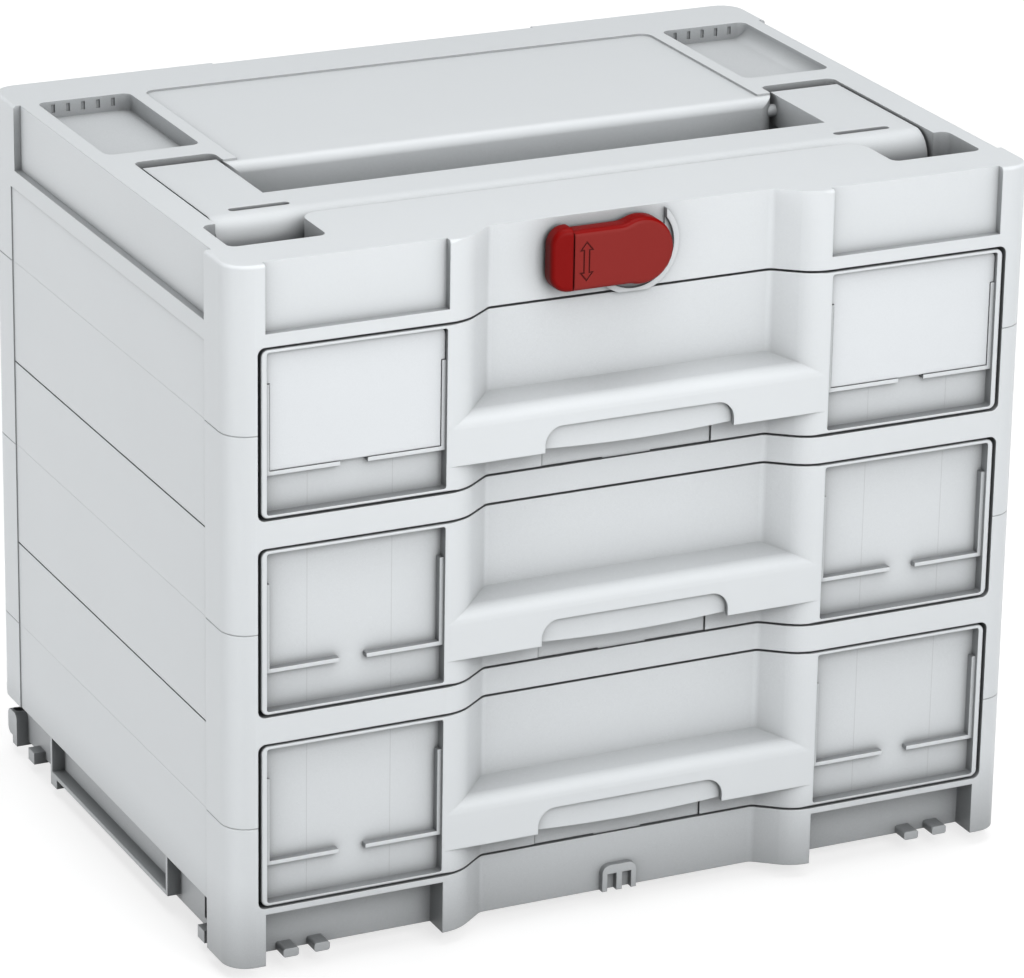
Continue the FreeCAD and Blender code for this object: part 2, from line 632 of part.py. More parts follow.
def front_catches():
    """Prongs and the slotted lug on the front of the plinth, that catch a case below."""
    prong_y = (f"{PLINTH_FRONT} - prong_depth", f"{PLINTH_FRONT} + plinth_wall / 2")
    prong_z = ("foot_height", "foot_height + prong_height")
    catches = []
    for number in (0, 1):
        x = about(f"({SIDE} - prong_inset + {number} * prong_pitch)", "prong_width")
        for side, ends in (("right", x), ("left", minus(x))):
            name = f"prong_{number}_{side}"
            catches.append(rounded_box(name, ends, prong_y, prong_z, "prong_round", "y"))
    lug_y = (f"{RECESS_FACE} - lug_depth", f"{RECESS_FACE} + 1")
    lug = box("lug_block", about_zero("lug_width"), lug_y, ("foot_height", "foot_height + lug_height"))
    doc.recompute()
    upper = all_of(runs_along("y"), lies_at(z=lug.Shape.BoundBox.ZMax))
    rounded = fillet("lug_rounded", lug, "lug_round", upper)
    slot_x = ("lug_web / 2", "lug_web / 2 + lug_slot")
    slot_y = (f"{RECESS_FACE} - lug_depth - 1", RECESS_FACE)
    slot_z = ("foot_height - 1", "foot_height + lug_height - lug_roof")
    slots = both_sides("lug_slot", slot_x, slot_y, slot_z)
    return catches + [cut("catch_lug", rounded, *slots)]


def side_catches():
    """The rails, corner feet and pegs under the sides, that guide a case below."""
    inner = f"({PLINTH_SIDE} - plinth_wall / 2)"
    outer = f"({SIDE} - rail_frame_set)"
    rail_y = (f"({FRONT} + rail_frame_front)", f"({BACK} - rail_frame_back)")
    rail_low = "(foot_height + rail_frame_drop)"
    frames = both_sides("rail_block", (inner, outer), rail_y, (rail_low, f"{PLINTH_TOP} + panel_inset"))
    hollow_y = (f"{rail_y[0]} + rail_frame_wall", f"{rail_y[1]} - rail_frame_wall")
    hollow_z = (f"{rail_low} + rail_frame_wall", PLINTH_TOP)
    hollows = both_sides("rail_hollow", (PLINTH_SIDE, f"{SIDE} + 1"), hollow_y, hollow_z)
    catches = [cut("side_rails", fuse("rail_blocks", *frames), *hollows)]
    peg_low = "(foot_height - peg_drop)"
    rail_peg_y = (f"{rail_y[1]} - peg_width", rail_y[1])
    rail_peg_z = (peg_low, f"{rail_low} + rail_frame_wall / 2")
    catches += both_sides("rail_peg", (inner, outer), rail_peg_y, rail_peg_z)

    foot_x = (f"{PLINTH_SIDE} - plinth_wall - corner_foot_lap", f"{SIDE} - corner_foot_set")
    foot_back = f"({BACK} - corner_foot_back)"
    foot_front = f"({foot_back} - corner_foot_length)"
    foot_z = ("foot_height + corner_foot_low", "foot_height + corner_foot_low + corner_foot_height")
    for side, x in (("right", foot_x), ("left", minus(foot_x))):
        name = "corner_foot_" + side
        catches.append(rounded_box(name, x, (foot_front, foot_back), foot_z, "corner_foot_round", "x"))
    toe_y = (foot_front, f"{foot_front} + corner_foot_length / 2")
    catches += both_sides("corner_toe", foot_x, toe_y, (peg_low, f"{foot_z[0]} + corner_foot_round"))
    peg_x = (inner, f"{SIDE} - corner_foot_set")
    peg_z = (peg_low, f"{peg_low} + peg_height")
    slot_end = f"(-{PANEL_END} + side_slot_set)"
    catches += both_sides("front_peg", peg_x, (slot_end, f"{slot_end} + peg_width"), peg_z)
    rear_peg_back = f"({foot_front} - 2 * peg_width)"
    catches += both_sides("rear_peg", peg_x, (f"{rear_peg_back} - peg_width", rear_peg_back), peg_z)
    return catches


def make_base():
    """Lowest shell: floor, set-in plinth, stacking feet and the catches for a case below."""
    below = ("-1", PLINTH_TOP)
    below_front = ("-1", "foot_height + plinth_front_rise")
    outer = outer_shell("base", ("foot_height", seam(0)), ("high",))
    hollows = [RECESS, REAR_RECESS, SIDE_MARKS, *bay("base_bay", 0, (plate_top(0), f"{seam(0)} + 1"))]
    side_y = (f"-{PANEL_END}", f"{BACK} + 1")
    hollows += both_sides("plinth_side_cut", (PLINTH_SIDE, f"{SIDE} + 1"), side_y, below)
    hollows += both_sides("plinth_front_cut", LID_PANEL_X, (f"{FRONT} - 1", PLINTH_FRONT), below_front)
    back_x = (f"-{SIDE} - 1", f"{SIDE} + 1")
    hollows.append(box("plinth_back_cut", back_x, (f"{BACK} - plinth_side", f"{BACK} + 1"), below))
    under_x = f"({PLINTH_SIDE} - plinth_wall)"
    under_y = (f"{PLINTH_FRONT} + plinth_wall", f"{BACK} - plinth_side - plinth_wall")
    hollows.append(box("under_floor", (f"-{under_x}", under_x), under_y, ("-1", plate_bottom(0))))
    slot_y = (f"-{PANEL_END} + side_slot_set", f"-{PANEL_END} + side_slot_set + side_slot")
    slot_z = ("foot_height + peg_height - peg_drop", f"{plate_bottom(0)} - shelf_wall / 2")
    hollows += both_sides("plinth_slot", (f"{under_x} - 1", f"{PLINTH_SIDE} + 1"), slot_y, slot_z)
    shell = cut("base_hollowed", outer, *hollows)

    # Ledge that joins the side walls to the floor above the set-in plinth
    ledge_x = (under_x, f"{SIDE} - skin / 2")
    ledge_y = (f"-{PANEL_END} - skin", f"{CAVITY_BACK} + skin / 2")
    extras = both_sides("side_ledge", ledge_x, ledge_y, (PLINTH_TOP, opening_bottom(0)))
    extras += runners("base_runner", 0)
    foot_x = (f"{SIDE} - foot_border - foot_width", f"{SIDE} - foot_border")
    foot_z = ("0", f"{plate_bottom(0)} + shelf_wall / 2")
    front_y = (f"{FRONT} + front_foot_set", f"{FRONT} + front_foot_set + front_foot_length")
    rear_y = (f"{BACK} - rear_foot_set - rear_foot_length", f"{BACK} - rear_foot_set")
    extras += both_sides("front_foot", foot_x, front_y, foot_z)
    extras += both_sides("rear_foot", foot_x, rear_y, foot_z)
    bosses = rear_bosses("base_boss", (PLINTH_TOP, seam(0)))
    whole = fuse("base_whole", shell, bosses, *extras, *front_catches(), *side_catches())
    keep("base_shell", cut("base_drilled", whole, ROD_HOLES))


def make_frame(label, level):
    """A middle shell: walls, posts and the shelf with its front rail, between two drawers."""
    low, high = seam(level - 1), seam(level)
    outer = outer_shell(label, (low, high), ("low", "high"))
    hollows = [RECESS, REAR_RECESS, SIDE_MARKS]
    hollows += bay(label + "_upper", level, (plate_top(level), f"{high} + 1"))
    hollows += bay(label + "_lower", level - 1, (f"{low} - 1", plate_bottom(level)))
    rail_x = (f"{LID_PANEL_X[0]} + skin", f"{HALF_OPENING} - skin")
    rail_y = (f"{FRONT} + skin", f"{CAVITY_FRONT} + 1")
    rail_z = (f"{opening_top(level - 1)} - 1", f"{opening_bottom(level)} - skin")
    hollows += both_sides(label + "_rail_hollow", rail_x, rail_y, rail_z)
    shell = cut(label + "_hollowed", outer, *hollows)
    bosses = rear_bosses(label + "_boss", (low, high))
    whole = fuse(label + "_whole", shell, bosses, *runners(label + "_runner", level))
    keep(label, cut(label + "_drilled", whole, ROD_HOLES))


def lid_pockets(name, grow):
    """The lid's pockets as solids; grow widens them by a wall on every side and below."""
    top = f"{LID_TOP} + 5"
    front = f"({FRONT} + front_pocket_border)"

    def pocket(part, x, y, depth):
        """One rounded pocket, on both sides of the middle."""
        wide_x = (f"{x[0]} - {grow}", f"{x[1]} + {grow}")
        wide_y = (f"{y[0]} - {grow}", f"{y[1]} + {grow}")
        z = (f"{LID_TOP} - {depth} - {grow}", top)
        right = rounded_box(f"{name}_{part}_right", wide_x, wide_y, z, "pocket_radius")
        left = rounded_box(f"{name}_{part}_left", minus(wide_x), wide_y, z, "pocket_radius")
        return [right, left]

    def bent(side, sign, solid):
        """A rear pocket with a hollow blend along the outer side of its floor."""
        outer = f"({REAR_POCKET_X[1]} + {grow})"
        middle = f"({outer} - pocket_bend)"
        floor = f"({LID_TOP} - rear_pocket_depth - {grow})"
        level = f"({floor} + pocket_bend)"
        y = (f"{REAR_POCKET_Y[0]} - {grow} - 1", f"{REAR_POCKET_Y[1]} + {grow} + 1")
        x = (middle, f"{outer} + 1")
        corner = box(f"{name}_bend_{side}", x if not sign else minus(x), y, (f"{floor} - 1", level))
        disc = cylinder(f"{name}_bend_disc_{side}", "y", f"{sign}{middle}", y, level, "pocket_bend")
        return cut(f"{name}_rear_bent_{side}", solid, cut(f"{name}_bend_edge_{side}", corner, disc))

    rear = pocket("rear", REAR_POCKET_X, REAR_POCKET_Y, "rear_pocket_depth")
    solids = [bent(side, sign, solid) for (side, sign), solid in zip(SIDES, rear)]
    solids += pocket("arm", ARM_POCKET_X, (front, ARM_POCKET_BACK), "front_pocket_depth")
    corner_x = (ARM_POCKET_X[0], REAR_POCKET_X[1])
    solids += pocket("corner", corner_x, (front, DECK_BACK), "front_pocket_depth")
    trough_x = (f"-{ARM_POCKET_X[1]} - {grow}", f"{ARM_POCKET_X[1]} + {grow}")
    trough_y = (f"{DECK_BACK} - {grow}", f"{TROUGH_BACK} + {grow}")
    solids.append(box(name + "_trough", trough_x, trough_y, (f"{LID_TOP} - trough_depth - {grow}", top)))
    return fuse(name, *solids)


def trough_rounding():
    """What the roundings of the deck's rear corners and of the trough's back edge take away."""
    z = (f"{LID_TOP} - front_pocket_depth", f"{LID_TOP} + 5")
    rounders = []
    for side, sign, inward in (("right", "", "-"), ("left", "-", "+")):
        x = f"{sign}{ARM_POCKET_X[0]}"
        deck = corner_rounder("deck_round_" + side, x, DECK_BACK, z, "deck_corner", inward, "-")
        trough = corner_rounder("trough_round_" + side, x, TROUGH_BACK, z, "trough_corner", inward, "+")
        rounders += [deck, trough]
    top = f"({LID_TOP} - top_panel_depth)"
    x = (f"-{ARM_POCKET_X[0]}", ARM_POCKET_X[0])
    middle_y = f"({TROUGH_BACK} + trough_lip)"
    middle_z = f"({top} - trough_lip)"
    block = box("lip_block", x, (f"{TROUGH_BACK} - 1", middle_y), (middle_z, f"{LID_TOP} + 1"))
    disc = cylinder("lip_disc", "x", x, middle_y, middle_z, "trough_lip")
    return rounders + [cut("trough_lip_round", block, disc)]


def make_top():
    """Top shell: the lid with its pockets, the handle's trough and the wall that carries the latch."""
    low = seam(2)
    outer = outer_shell("top", (low, LID_TOP), ("low",))
    panel_z = (f"{opening_top(2)} + lid_panel_rise", f"{LID_TOP} + 1")
    panel_y = (f"{FRONT} - 1", f"{FRONT} + lid_panel_depth")
    panels = both_sides("lid_front_panel", LID_PANEL_X, panel_y, panel_z)
    side_x = (f"{SIDE} - lid_side_depth", f"{SIDE} + 1")
    panels += both_sides("lid_side_panel", side_x, (f"-{PANEL_END}", f"{BACK} - lid_side_post"), panel_z)
    doc.recompute()
    rounded = fillet("lid_rounded", outer, "lid_edge", lies_at(z=outer.Shape.BoundBox.ZMax))
    outline = cut("lid_outline", rounded, RECESS, REAR_RECESS, *panels)

    # Hollow under the lid, less the walls round the pockets
    void_x = f"({SIDE} - lid_side_depth - skin)"
    void_z = (f"{LID_INSIDE} - 1", f"{LID_TOP} - skin")
    wall_back = f"({RECESS_FACE} + lid_wall)"
    voids = [box("lid_void", (f"-{void_x}", void_x), (wall_back, CAVITY_BACK), void_z)]
    front_x = (f"{LID_PANEL_X[0]} + skin", f"{LID_PANEL_X[1]} - skin")
    front_y = (f"{FRONT} + lid_panel_depth + skin", f"{wall_back} + 1")
    voids += both_sides("lid_front_void", front_x, front_y, void_z)
    under = cut("lid_under", fuse("lid_voids", *voids), lid_pockets("pocket_walls", "pocket_wall"))

    pockets = lid_pockets("pockets", "0")
    panel_half = f"({REAR_POCKET_X[0]} - top_panel_rim)"
    sunk_y = (f"{TROUGH_BACK} - 1", f"{BACK} - top_panel_border")
    sunk_z = (f"{LID_TOP} - top_panel_depth", f"{LID_TOP} + 5")
    sunk = rounded_box("top_panel", (f"-{panel_half}", panel_half), sunk_y, sunk_z, "top_panel_radius")
    slots = []
    slot_y = (f"{REAR_POCKET_Y[1]} - 1", f"{REAR_POCKET_Y[1]} + pocket_slot_depth")
    slot_top = f"({LID_TOP} - pocket_slot_drop)"
    slot_z = (f"{slot_top} - pocket_slot_height", slot_top)
    for number in range(5):
        shift = f"({number} - 2) * pocket_slot_pitch"
        x = about(f"(({REAR_POCKET_X[0]} + {REAR_POCKET_X[1]}) / 2 + {shift})", "pocket_slot_width")
        slots += both_sides(f"pocket_slot_{number}", x, slot_y, slot_z)
    room = bay("top_bay", 2, (f"{low} - 1", LID_INSIDE))
    shell = cut("top_hollowed", outline, *room, under, pockets, sunk, SIDE_MARKS, *slots, *trough_rounding())

    whole = fuse("top_whole", shell, rear_bosses("top_boss", (low, f"{LID_TOP} - skin / 2")))
    pivots = []
    for side, x in (("right", PIVOT_X), ("left", minus(PIVOT_X))):
        pivots.append(cylinder("pivot_seat_" + side, "x", x, PIVOT_Y, PIVOT_Z, "pivot_radius"))
    bearing_y = (f"{RECESS_FACE} - 1", f"{wall_back} + 1")
    bearing = cylinder("latch_bearing", "y", "0", bearing_y, LATCH_Z, "latch_screw + latch_screw_clearance")
    keep("top_shell", cut("top_drilled", whole, ROD_HOLES, bearing, *pivots))


def make_tie_rods():
    """Four long screws that hold the stacked shells together, seated under the floor."""
    rods = []
    for side, sign in SIDES:
        for end, y in (("front", ROD_FRONT), ("rear", ROD_REAR)):
            x = f"{sign}{ROD_X}"
            name = f"tie_rod_{side}_{end}"
            shank_z = (f"{ROD_SEAT} - rod_head_height / 2", ROD_END)
            shank = cylinder(name + "_shank", "z", x, y, shank_z, "rod_radius")
            head_z = (f"{ROD_SEAT} - rod_head_height", ROD_SEAT)
            head = cylinder(name + "_head", "z", x, y, head_z, "rod_head")
            rods.append(fuse(name, shank, head))
    keep("tie_rods", group("tie_rods", rods))


def make_drawer(level):
    """One drawer: front panel with its pull, tray, release lever with pin and spring, and screws."""
    name = DRAWERS[level]
    low = f"({opening_bottom(level)} + edge_gap)"
    high = f"({opening_top(level)} - edge_gap)"
    half = f"({HALF_OPENING} - side_gap)"
    panel_back = f"({RECESS_FACE} + front_wall)"
    tray_low = f"({opening_bottom(level)} + runner_rise + slide_gap)"
    hinge_y = f"({FRONT} + hinge_set)"
    hinge_z = f"({low} + hinge_level)"
    slot_half = "(lever_skirt / 2 + skirt_gap)"

    def plate():
        """The panel itself: rim, label pockets and front hollow, with the lever's opening."""
        x, y, z = (f"-{half}", half), (FRONT, panel_back), (low, high)
        block = rounded_box(f"front_{name}_block", x, y, z, "opening_radius", "y")
        edged = fillet(f"front_{name}_edged", block, "front_edge", at_front(block))
        label_y = (f"{FRONT} - 1", f"{FRONT} + label_depth")
        label_z = (f"{low} + label_rim", f"{high} - label_rim")
        right = rounded_box(f"label_{name}_right", LABEL_X, label_y, label_z, "label_radius", "y")
        left = rounded_box(f"label_{name}_left", minus(LABEL_X), label_y, label_z, "label_radius", "y")
        behind_x = (f"{LID_PANEL_X[0]} + front_wall", f"{half} - front_wall")
        behind_y = (f"{FRONT} + label_depth + front_wall", f"{panel_back} + 1")
        behind_z = (f"{low} + front_wall", f"{high} - front_wall")
        behind = both_sides(f"behind_{name}", behind_x, behind_y, behind_z)
        slot_y = (f"{RECESS_FACE} - 1", f"{panel_back} + 1")
        slot_z = (f"{low} - 1", f"{low} + lever_web + lever_wall + lever_travel_room")
        slot = box(f"lever_slot_{name}", (f"-{slot_half}", slot_half), slot_y, slot_z)
        return cut(f"front_{name}_plate", edged, RECESS, right, left, *behind, slot)

    def pull():
        """The pull: a band with a sloping top, hollow from below, with the lever's window in it."""
        wedge = doc.addObject("Part::Wedge", f"pull_{name}_wedge")
        wide = f"({RECESS_EDGE} + recess_bend / 2)"
        bind(wedge, Xmin=f"-{wide}", Xmax=wide, X2min=f"-{wide}", X2max=wide)
        bind(wedge, Ymin=FRONT, Ymax=RECESS_FACE, Zmin=f"{low} + pull_bottom", Z2min=f"{low} + pull_bottom")
        bind(wedge, Zmax=f"{low} + pull_top", Z2max=f"{low} + pull_shelf")
        doc.recompute()
        middle = wedge.Shape.BoundBox.Center.z
        upper = lambda edge: edge.Vertexes[0].Z > middle
        top_edge = all_of(runs_along("x"), at_front(wedge), upper)
        soft = fillet(f"pull_{name}_soft", wedge, "pull_edge", top_edge)
        band = common(f"pull_{name}_band", soft, RECESS)
        hollow = doc.addObject("Part::Wedge", f"pull_{name}_hollow")
        inner = f"({RECESS_EDGE} - pull_end)"
        bind(hollow, Xmin=f"-{inner}", Xmax=inner, X2min=f"-{inner}", X2max=inner)
        bind(hollow, Ymin=f"{FRONT} + pull_wall", Ymax=RECESS_FACE, Zmin=f"{low} - 1", Z2min=f"{low} - 1")
        bind(hollow, Zmax=f"{low} + pull_top - pull_roof", Z2max=f"{low} + pull_shelf - pull_roof")
        window_y = (f"{FRONT} - 1", f"{FRONT} + pull_wall + lever_gap")
        window_z = (f"{low} + pull_bottom - 2 * notch_radius", f"{low} + pull_bottom + notch_height")
        window_x = about_zero("notch_width")
        window = rounded_box(f"notch_{name}", window_x, window_y, window_z, "notch_radius", "y")
        return cut(f"pull_{name}_shell", band, hollow, window)

    def ribs():
        """Ribs in the label pockets that hold a label from below and at the sides."""
        inner, outer = LABEL_X
        y = (f"{FRONT} + rib_depth", f"{FRONT} + label_depth + front_wall / 2")
        cross_z = (f"{low} + rib_level", f"{low} + rib_level + rib_width")
        side_z = (f"{low} + rib_level", f"{low} + rib_top")
        past_outer = f"{outer} + label_radius"
        past_inner = f"{inner} - label_radius"
        outer_x = (f"{outer} - rib_outer_length", past_outer)
        inner_x = (past_inner, f"{inner} + rib_inner_length")
        made = both_sides(f"rib_{name}_outer_cross", outer_x, y, cross_z)
        made += both_sides(f"rib_{name}_inner_cross", inner_x, y, cross_z)
        made += both_sides(f"rib_{name}_outer_side", (f"{outer} - rib_width", past_outer), y, side_z)
        made += both_sides(f"rib_{name}_inner_side", (past_inner, f"{inner} + rib_width"), y, side_z)
        return made

    def panel():
        """Front panel, whole: with the spring's seat, the hinge's bearing blocks and the screw bosses."""
        seat_z = (f"{low} + pull_top - pull_roof", f"{low} + pull_top + pull_roof / 2")
        seat = cylinder(f"spring_seat_{name}", "z", "0", f"({FRONT} + spring_set)", seat_z, "spring_seat")
        block_y = (f"{RECESS_FACE} + front_wall / 2", f"{hinge_y} + hinge_tube")
        block_z = (f"{hinge_z} - hinge_tube", f"{hinge_z} + hinge_tube")
        block_x = (slot_half, f"{slot_half} + hinge_boss")
        blocks = both_sides(f"hinge_block_{name}", block_x, block_y, block_z)
        bosses = []
        holes = []
        boss_y = (f"{FRONT} + label_depth + front_wall / 2", panel_back)
        hole_y = (f"{panel_back} + tray_wall - front_screw_length", f"{panel_back} + 1")
        for side, sign in SIDES:
            for row, rise in SCREW_ROWS:
                spot = f"{name}_{side}_{row}"
                x, z = f"{sign}{SCREW_X}", f"{low} + {rise}"
                bosses.append(cylinder(f"front_boss_{spot}", "y", x, boss_y, z, "front_boss"))
                holes.append(cylinder(f"front_hole_{spot}", "y", x, hole_y, z, "front_screw"))
        whole = fuse(f"front_{name}_whole", plate(), pull(), seat, *ribs(), *blocks, *bosses)
        pin_x = (f"-{slot_half} - hinge_boss", f"{slot_half} + hinge_boss")
        past_x = (f"{pin_x[0]} - 1", f"{pin_x[1]} + 1")
        holes.append(cylinder(f"pin_hole_{name}", "x", past_x, hinge_y, hinge_z, "hinge_pin"))
        keep(f"drawer_front_{name}", cut(f"front_{name}_drilled", whole, *holes))
        pin = cylinder(f"lever_pin_{name}_rod", "x", pin_x, hinge_y, hinge_z, "hinge_pin")
        keep(f"lever_pin_{name}", pin)

    def tray():
        """Open tray with guide flanges at its foot and an alcove for the lever in its front."""
        wide = f"({HALF_OPENING} - tray_side)"
        tray_back = f"({CAVITY_BACK} - tray_back)"
        tray_top = f"({tray_low} + tray_height)"
        block = box(f"tray_{name}_block", (f"-{wide}", wide), (panel_back, tray_back), (tray_low, tray_top))
        flange_x = (f"{wide} - 1", f"{wide} + tray_flange")
        flange_y = (f"{panel_back} + post_depth", tray_back)
        flange_z = (tray_low, f"{tray_low} + tray_flange_height")
        flanges = both_sides(f"tray_flange_{name}", flange_x, flange_y, flange_z)
        inside_x = (f"-{wide} + tray_wall", f"{wide} - tray_wall")
        inside_y = (f"{panel_back} + tray_wall", f"{tray_back} - tray_wall")
        inside_z = (f"{tray_low} + tray_wall", f"{tray_top} + 1")
        inside = box(f"tray_{name}_inside", inside_x, inside_y, inside_z)
        open_tray = cut(f"tray_{name}_open", fuse(f"tray_{name}_solid", block, *flanges), inside)

        alcove_back = f"({panel_back} + alcove_depth)"
        alcove_top = f"({tray_low} + alcove_height)"
        cover_y = (panel_back, f"{alcove_back} + tray_wall")
        cover_z = (tray_low, f"{alcove_top} + tray_wall")
        cover = box(f"alcove_{name}_cover", about_zero("alcove_width + 2 * tray_wall"), cover_y, cover_z)
        alcove_y = (f"{panel_back} - 1", alcove_back)
        alcove = box(f"alcove_{name}", about_zero("alcove_width"), alcove_y, (f"{tray_low} - 1", alcove_top))
        covered = fuse(f"tray_{name}_covered", open_tray, cover)

        inner = f"({panel_back} + tray_wall)"
        hole_y = (f"{panel_back} - 1", f"{inner} + 1")
        shank_y = (f"{inner} - front_screw_length", f"{inner} + 0.5")
        head_y = (inner, f"{inner} + front_screw_head_height")
        holes = [alcove]
        screws = []
        for side, sign in SIDES:
            for row, rise in SCREW_ROWS:
                spot = f"{name}_{side}_{row}"
                x, z = f"{sign}{SCREW_X}", f"{low} + {rise}"
                holes.append(cylinder(f"tray_hole_{spot}", "y", x, hole_y, z, "front_screw"))
                shank = cylinder(f"screw_{spot}_shank", "y", x, shank_y, z, "front_screw")
                head = cylinder(f"screw_{spot}_head", "y", x, head_y, z, "front_screw_head")
                screws.append(fuse(f"screw_{spot}", shank, head))
        keep(f"drawer_tray_{name}", cut(f"tray_{name}_done", covered, *holes))
        keep(f"front_screws_{name}", group(f"front_screws_{name}", screws))

    def lever():
        """Release lever: bowed grip plate, web through the opening, skirt with a hook, hinge tube."""
        plate_y = (f"({FRONT} + pull_wall + lever_gap)", f"({FRONT} + pull_wall + lever_gap + lever_wall)")
        web_z = (f"{low} + lever_web", f"{low} + lever_web + lever_wall")
        grip_low = f"({low} + pull_bottom - lever_drop)"
        grip_z = (grip_low, f"{low} + lever_top")
        grip = box(f"lever_{name}_grip", about_zero("lever_width"), plate_y, grip_z)
        bow = "((lever_width * lever_width / 4 + lever_bow * lever_bow) / (2 * lever_bow))"
        disc_y = (f"{plate_y[0]} - 1", f"{plate_y[1]} + 1")
        disc = cylinder(f"lever_{name}_disc", "y", "0", disc_y, f"{grip_low} + {bow}", bow)
        bowed = common(f"lever_{name}_bowed", grip, disc)
        across = about_zero("lever_skirt")
        web = box(f"lever_{name}_web", across, (plate_y[0], hinge_y), web_z)
        skirt_y = (f"{RECESS_FACE} + skirt_set", f"{RECESS_FACE} + skirt_set + lever_wall")
        skirt_z = (f"{opening_bottom(level)} + skirt_lift", web_z[1])
        skirt = box(f"lever_{name}_skirt", across, skirt_y, skirt_z)
        hook_z = (f"{opening_bottom(level)} + hook_lift", hinge_z)
        hook = box(f"lever_{name}_hook", about_zero("hook_width"), skirt_y, hook_z)
        tube = cylinder(f"lever_{name}_tube", "x", across, hinge_y, hinge_z, "hinge_tube")
        strut = box(f"lever_{name}_strut", across, (f"{hinge_y} - lever_wall", hinge_y), (hinge_z, web_z[1]))
        whole = fuse(f"lever_{name}_whole", bowed, web, skirt, hook, tube, strut)
        bore_x = about_zero("lever_skirt + 4")
        bore = cylinder(f"lever_{name}_bore", "x", bore_x, hinge_y, hinge_z, "hinge_pin + hinge_clearance")
        keep(f"release_lever_{name}", cut(f"lever_{name}_bored", whole, bore))

    def spring():
        """Bowed leaf spring between the lever's web and its seat under the pull's sloping top."""
        foot = f"({low} + lever_web + lever_wall + spring_gap)"
        reach = "(pull_top - pull_roof - lever_web - lever_wall - 2 * spring_gap)"
        y = about(f"({FRONT} + spring_set)", "spring_width")
        past_y = (f"{y[0]} - 1", f"{y[1]} + 1")
        outside = cylinder(f"spring_{name}_outside", "y", "0", y, foot, reach)
        inside = cylinder(f"spring_{name}_inside", "y", "0", past_y, foot, f"{reach} - spring_strip")
        below_z = (f"{foot} - {reach} - 1", foot)
        below = box(f"spring_{name}_below", about_zero(f"2 * {reach} + 2"), past_y, below_z)
        keep(f"lever_spring_{name}", cut(f"spring_{name}_bow", outside, inside, below))

    def label_inserts():
        """Blank plates that fill the label pockets of the top drawer above the cross ribs."""
        inner, outer = LABEL_X
        y = (f"{FRONT} + label_depth - insert_wall", f"{FRONT} + label_depth")
        foot_low = f"{low} + rib_level + rib_width + insert_gap"
        head_low = f"{low} + rib_top + insert_gap"
        head_top = f"{high} - label_rim - insert_gap"
        narrow_x = (f"{inner} + rib_width + insert_gap", f"{outer} - rib_width - insert_gap")
        wide_x = (f"{inner} + insert_gap", f"{outer} - insert_gap")
        for side, flip in (("right", lambda pair: pair), ("left", minus)):
            foot = box(f"insert_{side}_foot", flip(narrow_x), y, (foot_low, f"{head_low} + insert_radius"))
            block = box(f"insert_{side}_block", flip(wide_x), y, (head_low, head_top))
            doc.recompute()
            upper = all_of(runs_along("y"), lies_at(z=block.Shape.BoundBox.ZMax))
            head = fillet(f"insert_{side}_head", block, "insert_radius", upper)
            keep(f"label_insert_{side}", fuse(f"insert_{side}", foot, head))

    panel()
    tray()
    lever()
    spring()
    if name == "top":
        label_inserts()


def make_handle():
    """U-shaped carry handle, folded flat, with its two pivot pins."""
    top = f"({LID_TOP} - handle_top)"
    z = (f"{top} - handle_thick", top)
    past_z = (f"{z[0]} - 1", f"{z[1]} + 1")
    front = f"({DECK_BACK} + handle_gap)"
    back = f"({ARM_POCKET_BACK} - handle_end_gap)"
    block = box("handle_block", (f"-{HANDLE_OUTER}", HANDLE_OUTER), (front, back), z)
    doc.recompute()
    bounds = block.Shape.BoundBox
    leading = all_of(runs_along("x"), lies_at(y=bounds.YMin, z=bounds.ZMax))
    rounded = fillet("handle_rounded", block, "bar_round", leading)
    gap_y = (f"{front} + bar_depth", f"{back} + 1")
    gap = box("handle_inside", (f"-{HANDLE_INNER}", HANDLE_INNER), gap_y, past_z)
    frame = cut("handle_frame", rounded, gap)
    doc.recompute()
    low_edge = all_of(runs_along("x"), lies_at(z=frame.Shape.BoundBox.ZMin))
    softened = fillet("handle_softened", frame, "handle_edge", low_edge)
    slot_middle = f"({HANDLE_OUTER} - handle_slot_inset)"
    slot_line = f"({DECK_BACK} + handle_slot_set)"
    slot_x = about(slot_middle, "(handle_slot_length - handle_slot_width)")
    tools = both_sides("handle_slot", slot_x, about(slot_line, "handle_slot_width"), past_z)
    for number, x in enumerate((*slot_x, *minus(slot_x))):
        name = f"handle_slot_end_{number}"
        tools.append(cylinder(name, "z", x, slot_line, past_z, "handle_slot_width / 2"))
    pins = []
    for side, x in (("right", PIVOT_X), ("left", minus(PIVOT_X))):
        past_x = (f"{x[0]} - 1", f"{x[1]} + 1")
        loose = "pivot_radius + pivot_clearance"
        tools.append(cylinder("handle_bore_" + side, "x", past_x, PIVOT_Y, PIVOT_Z, loose))
        pins.append(cylinder("handle_pin_" + side, "x", x, PIVOT_Y, PIVOT_Z, "pivot_radius"))
    keep("carry_handle", cut("handle_done", softened, *tools))
    keep("handle_pins", group("handle_pins", pins))


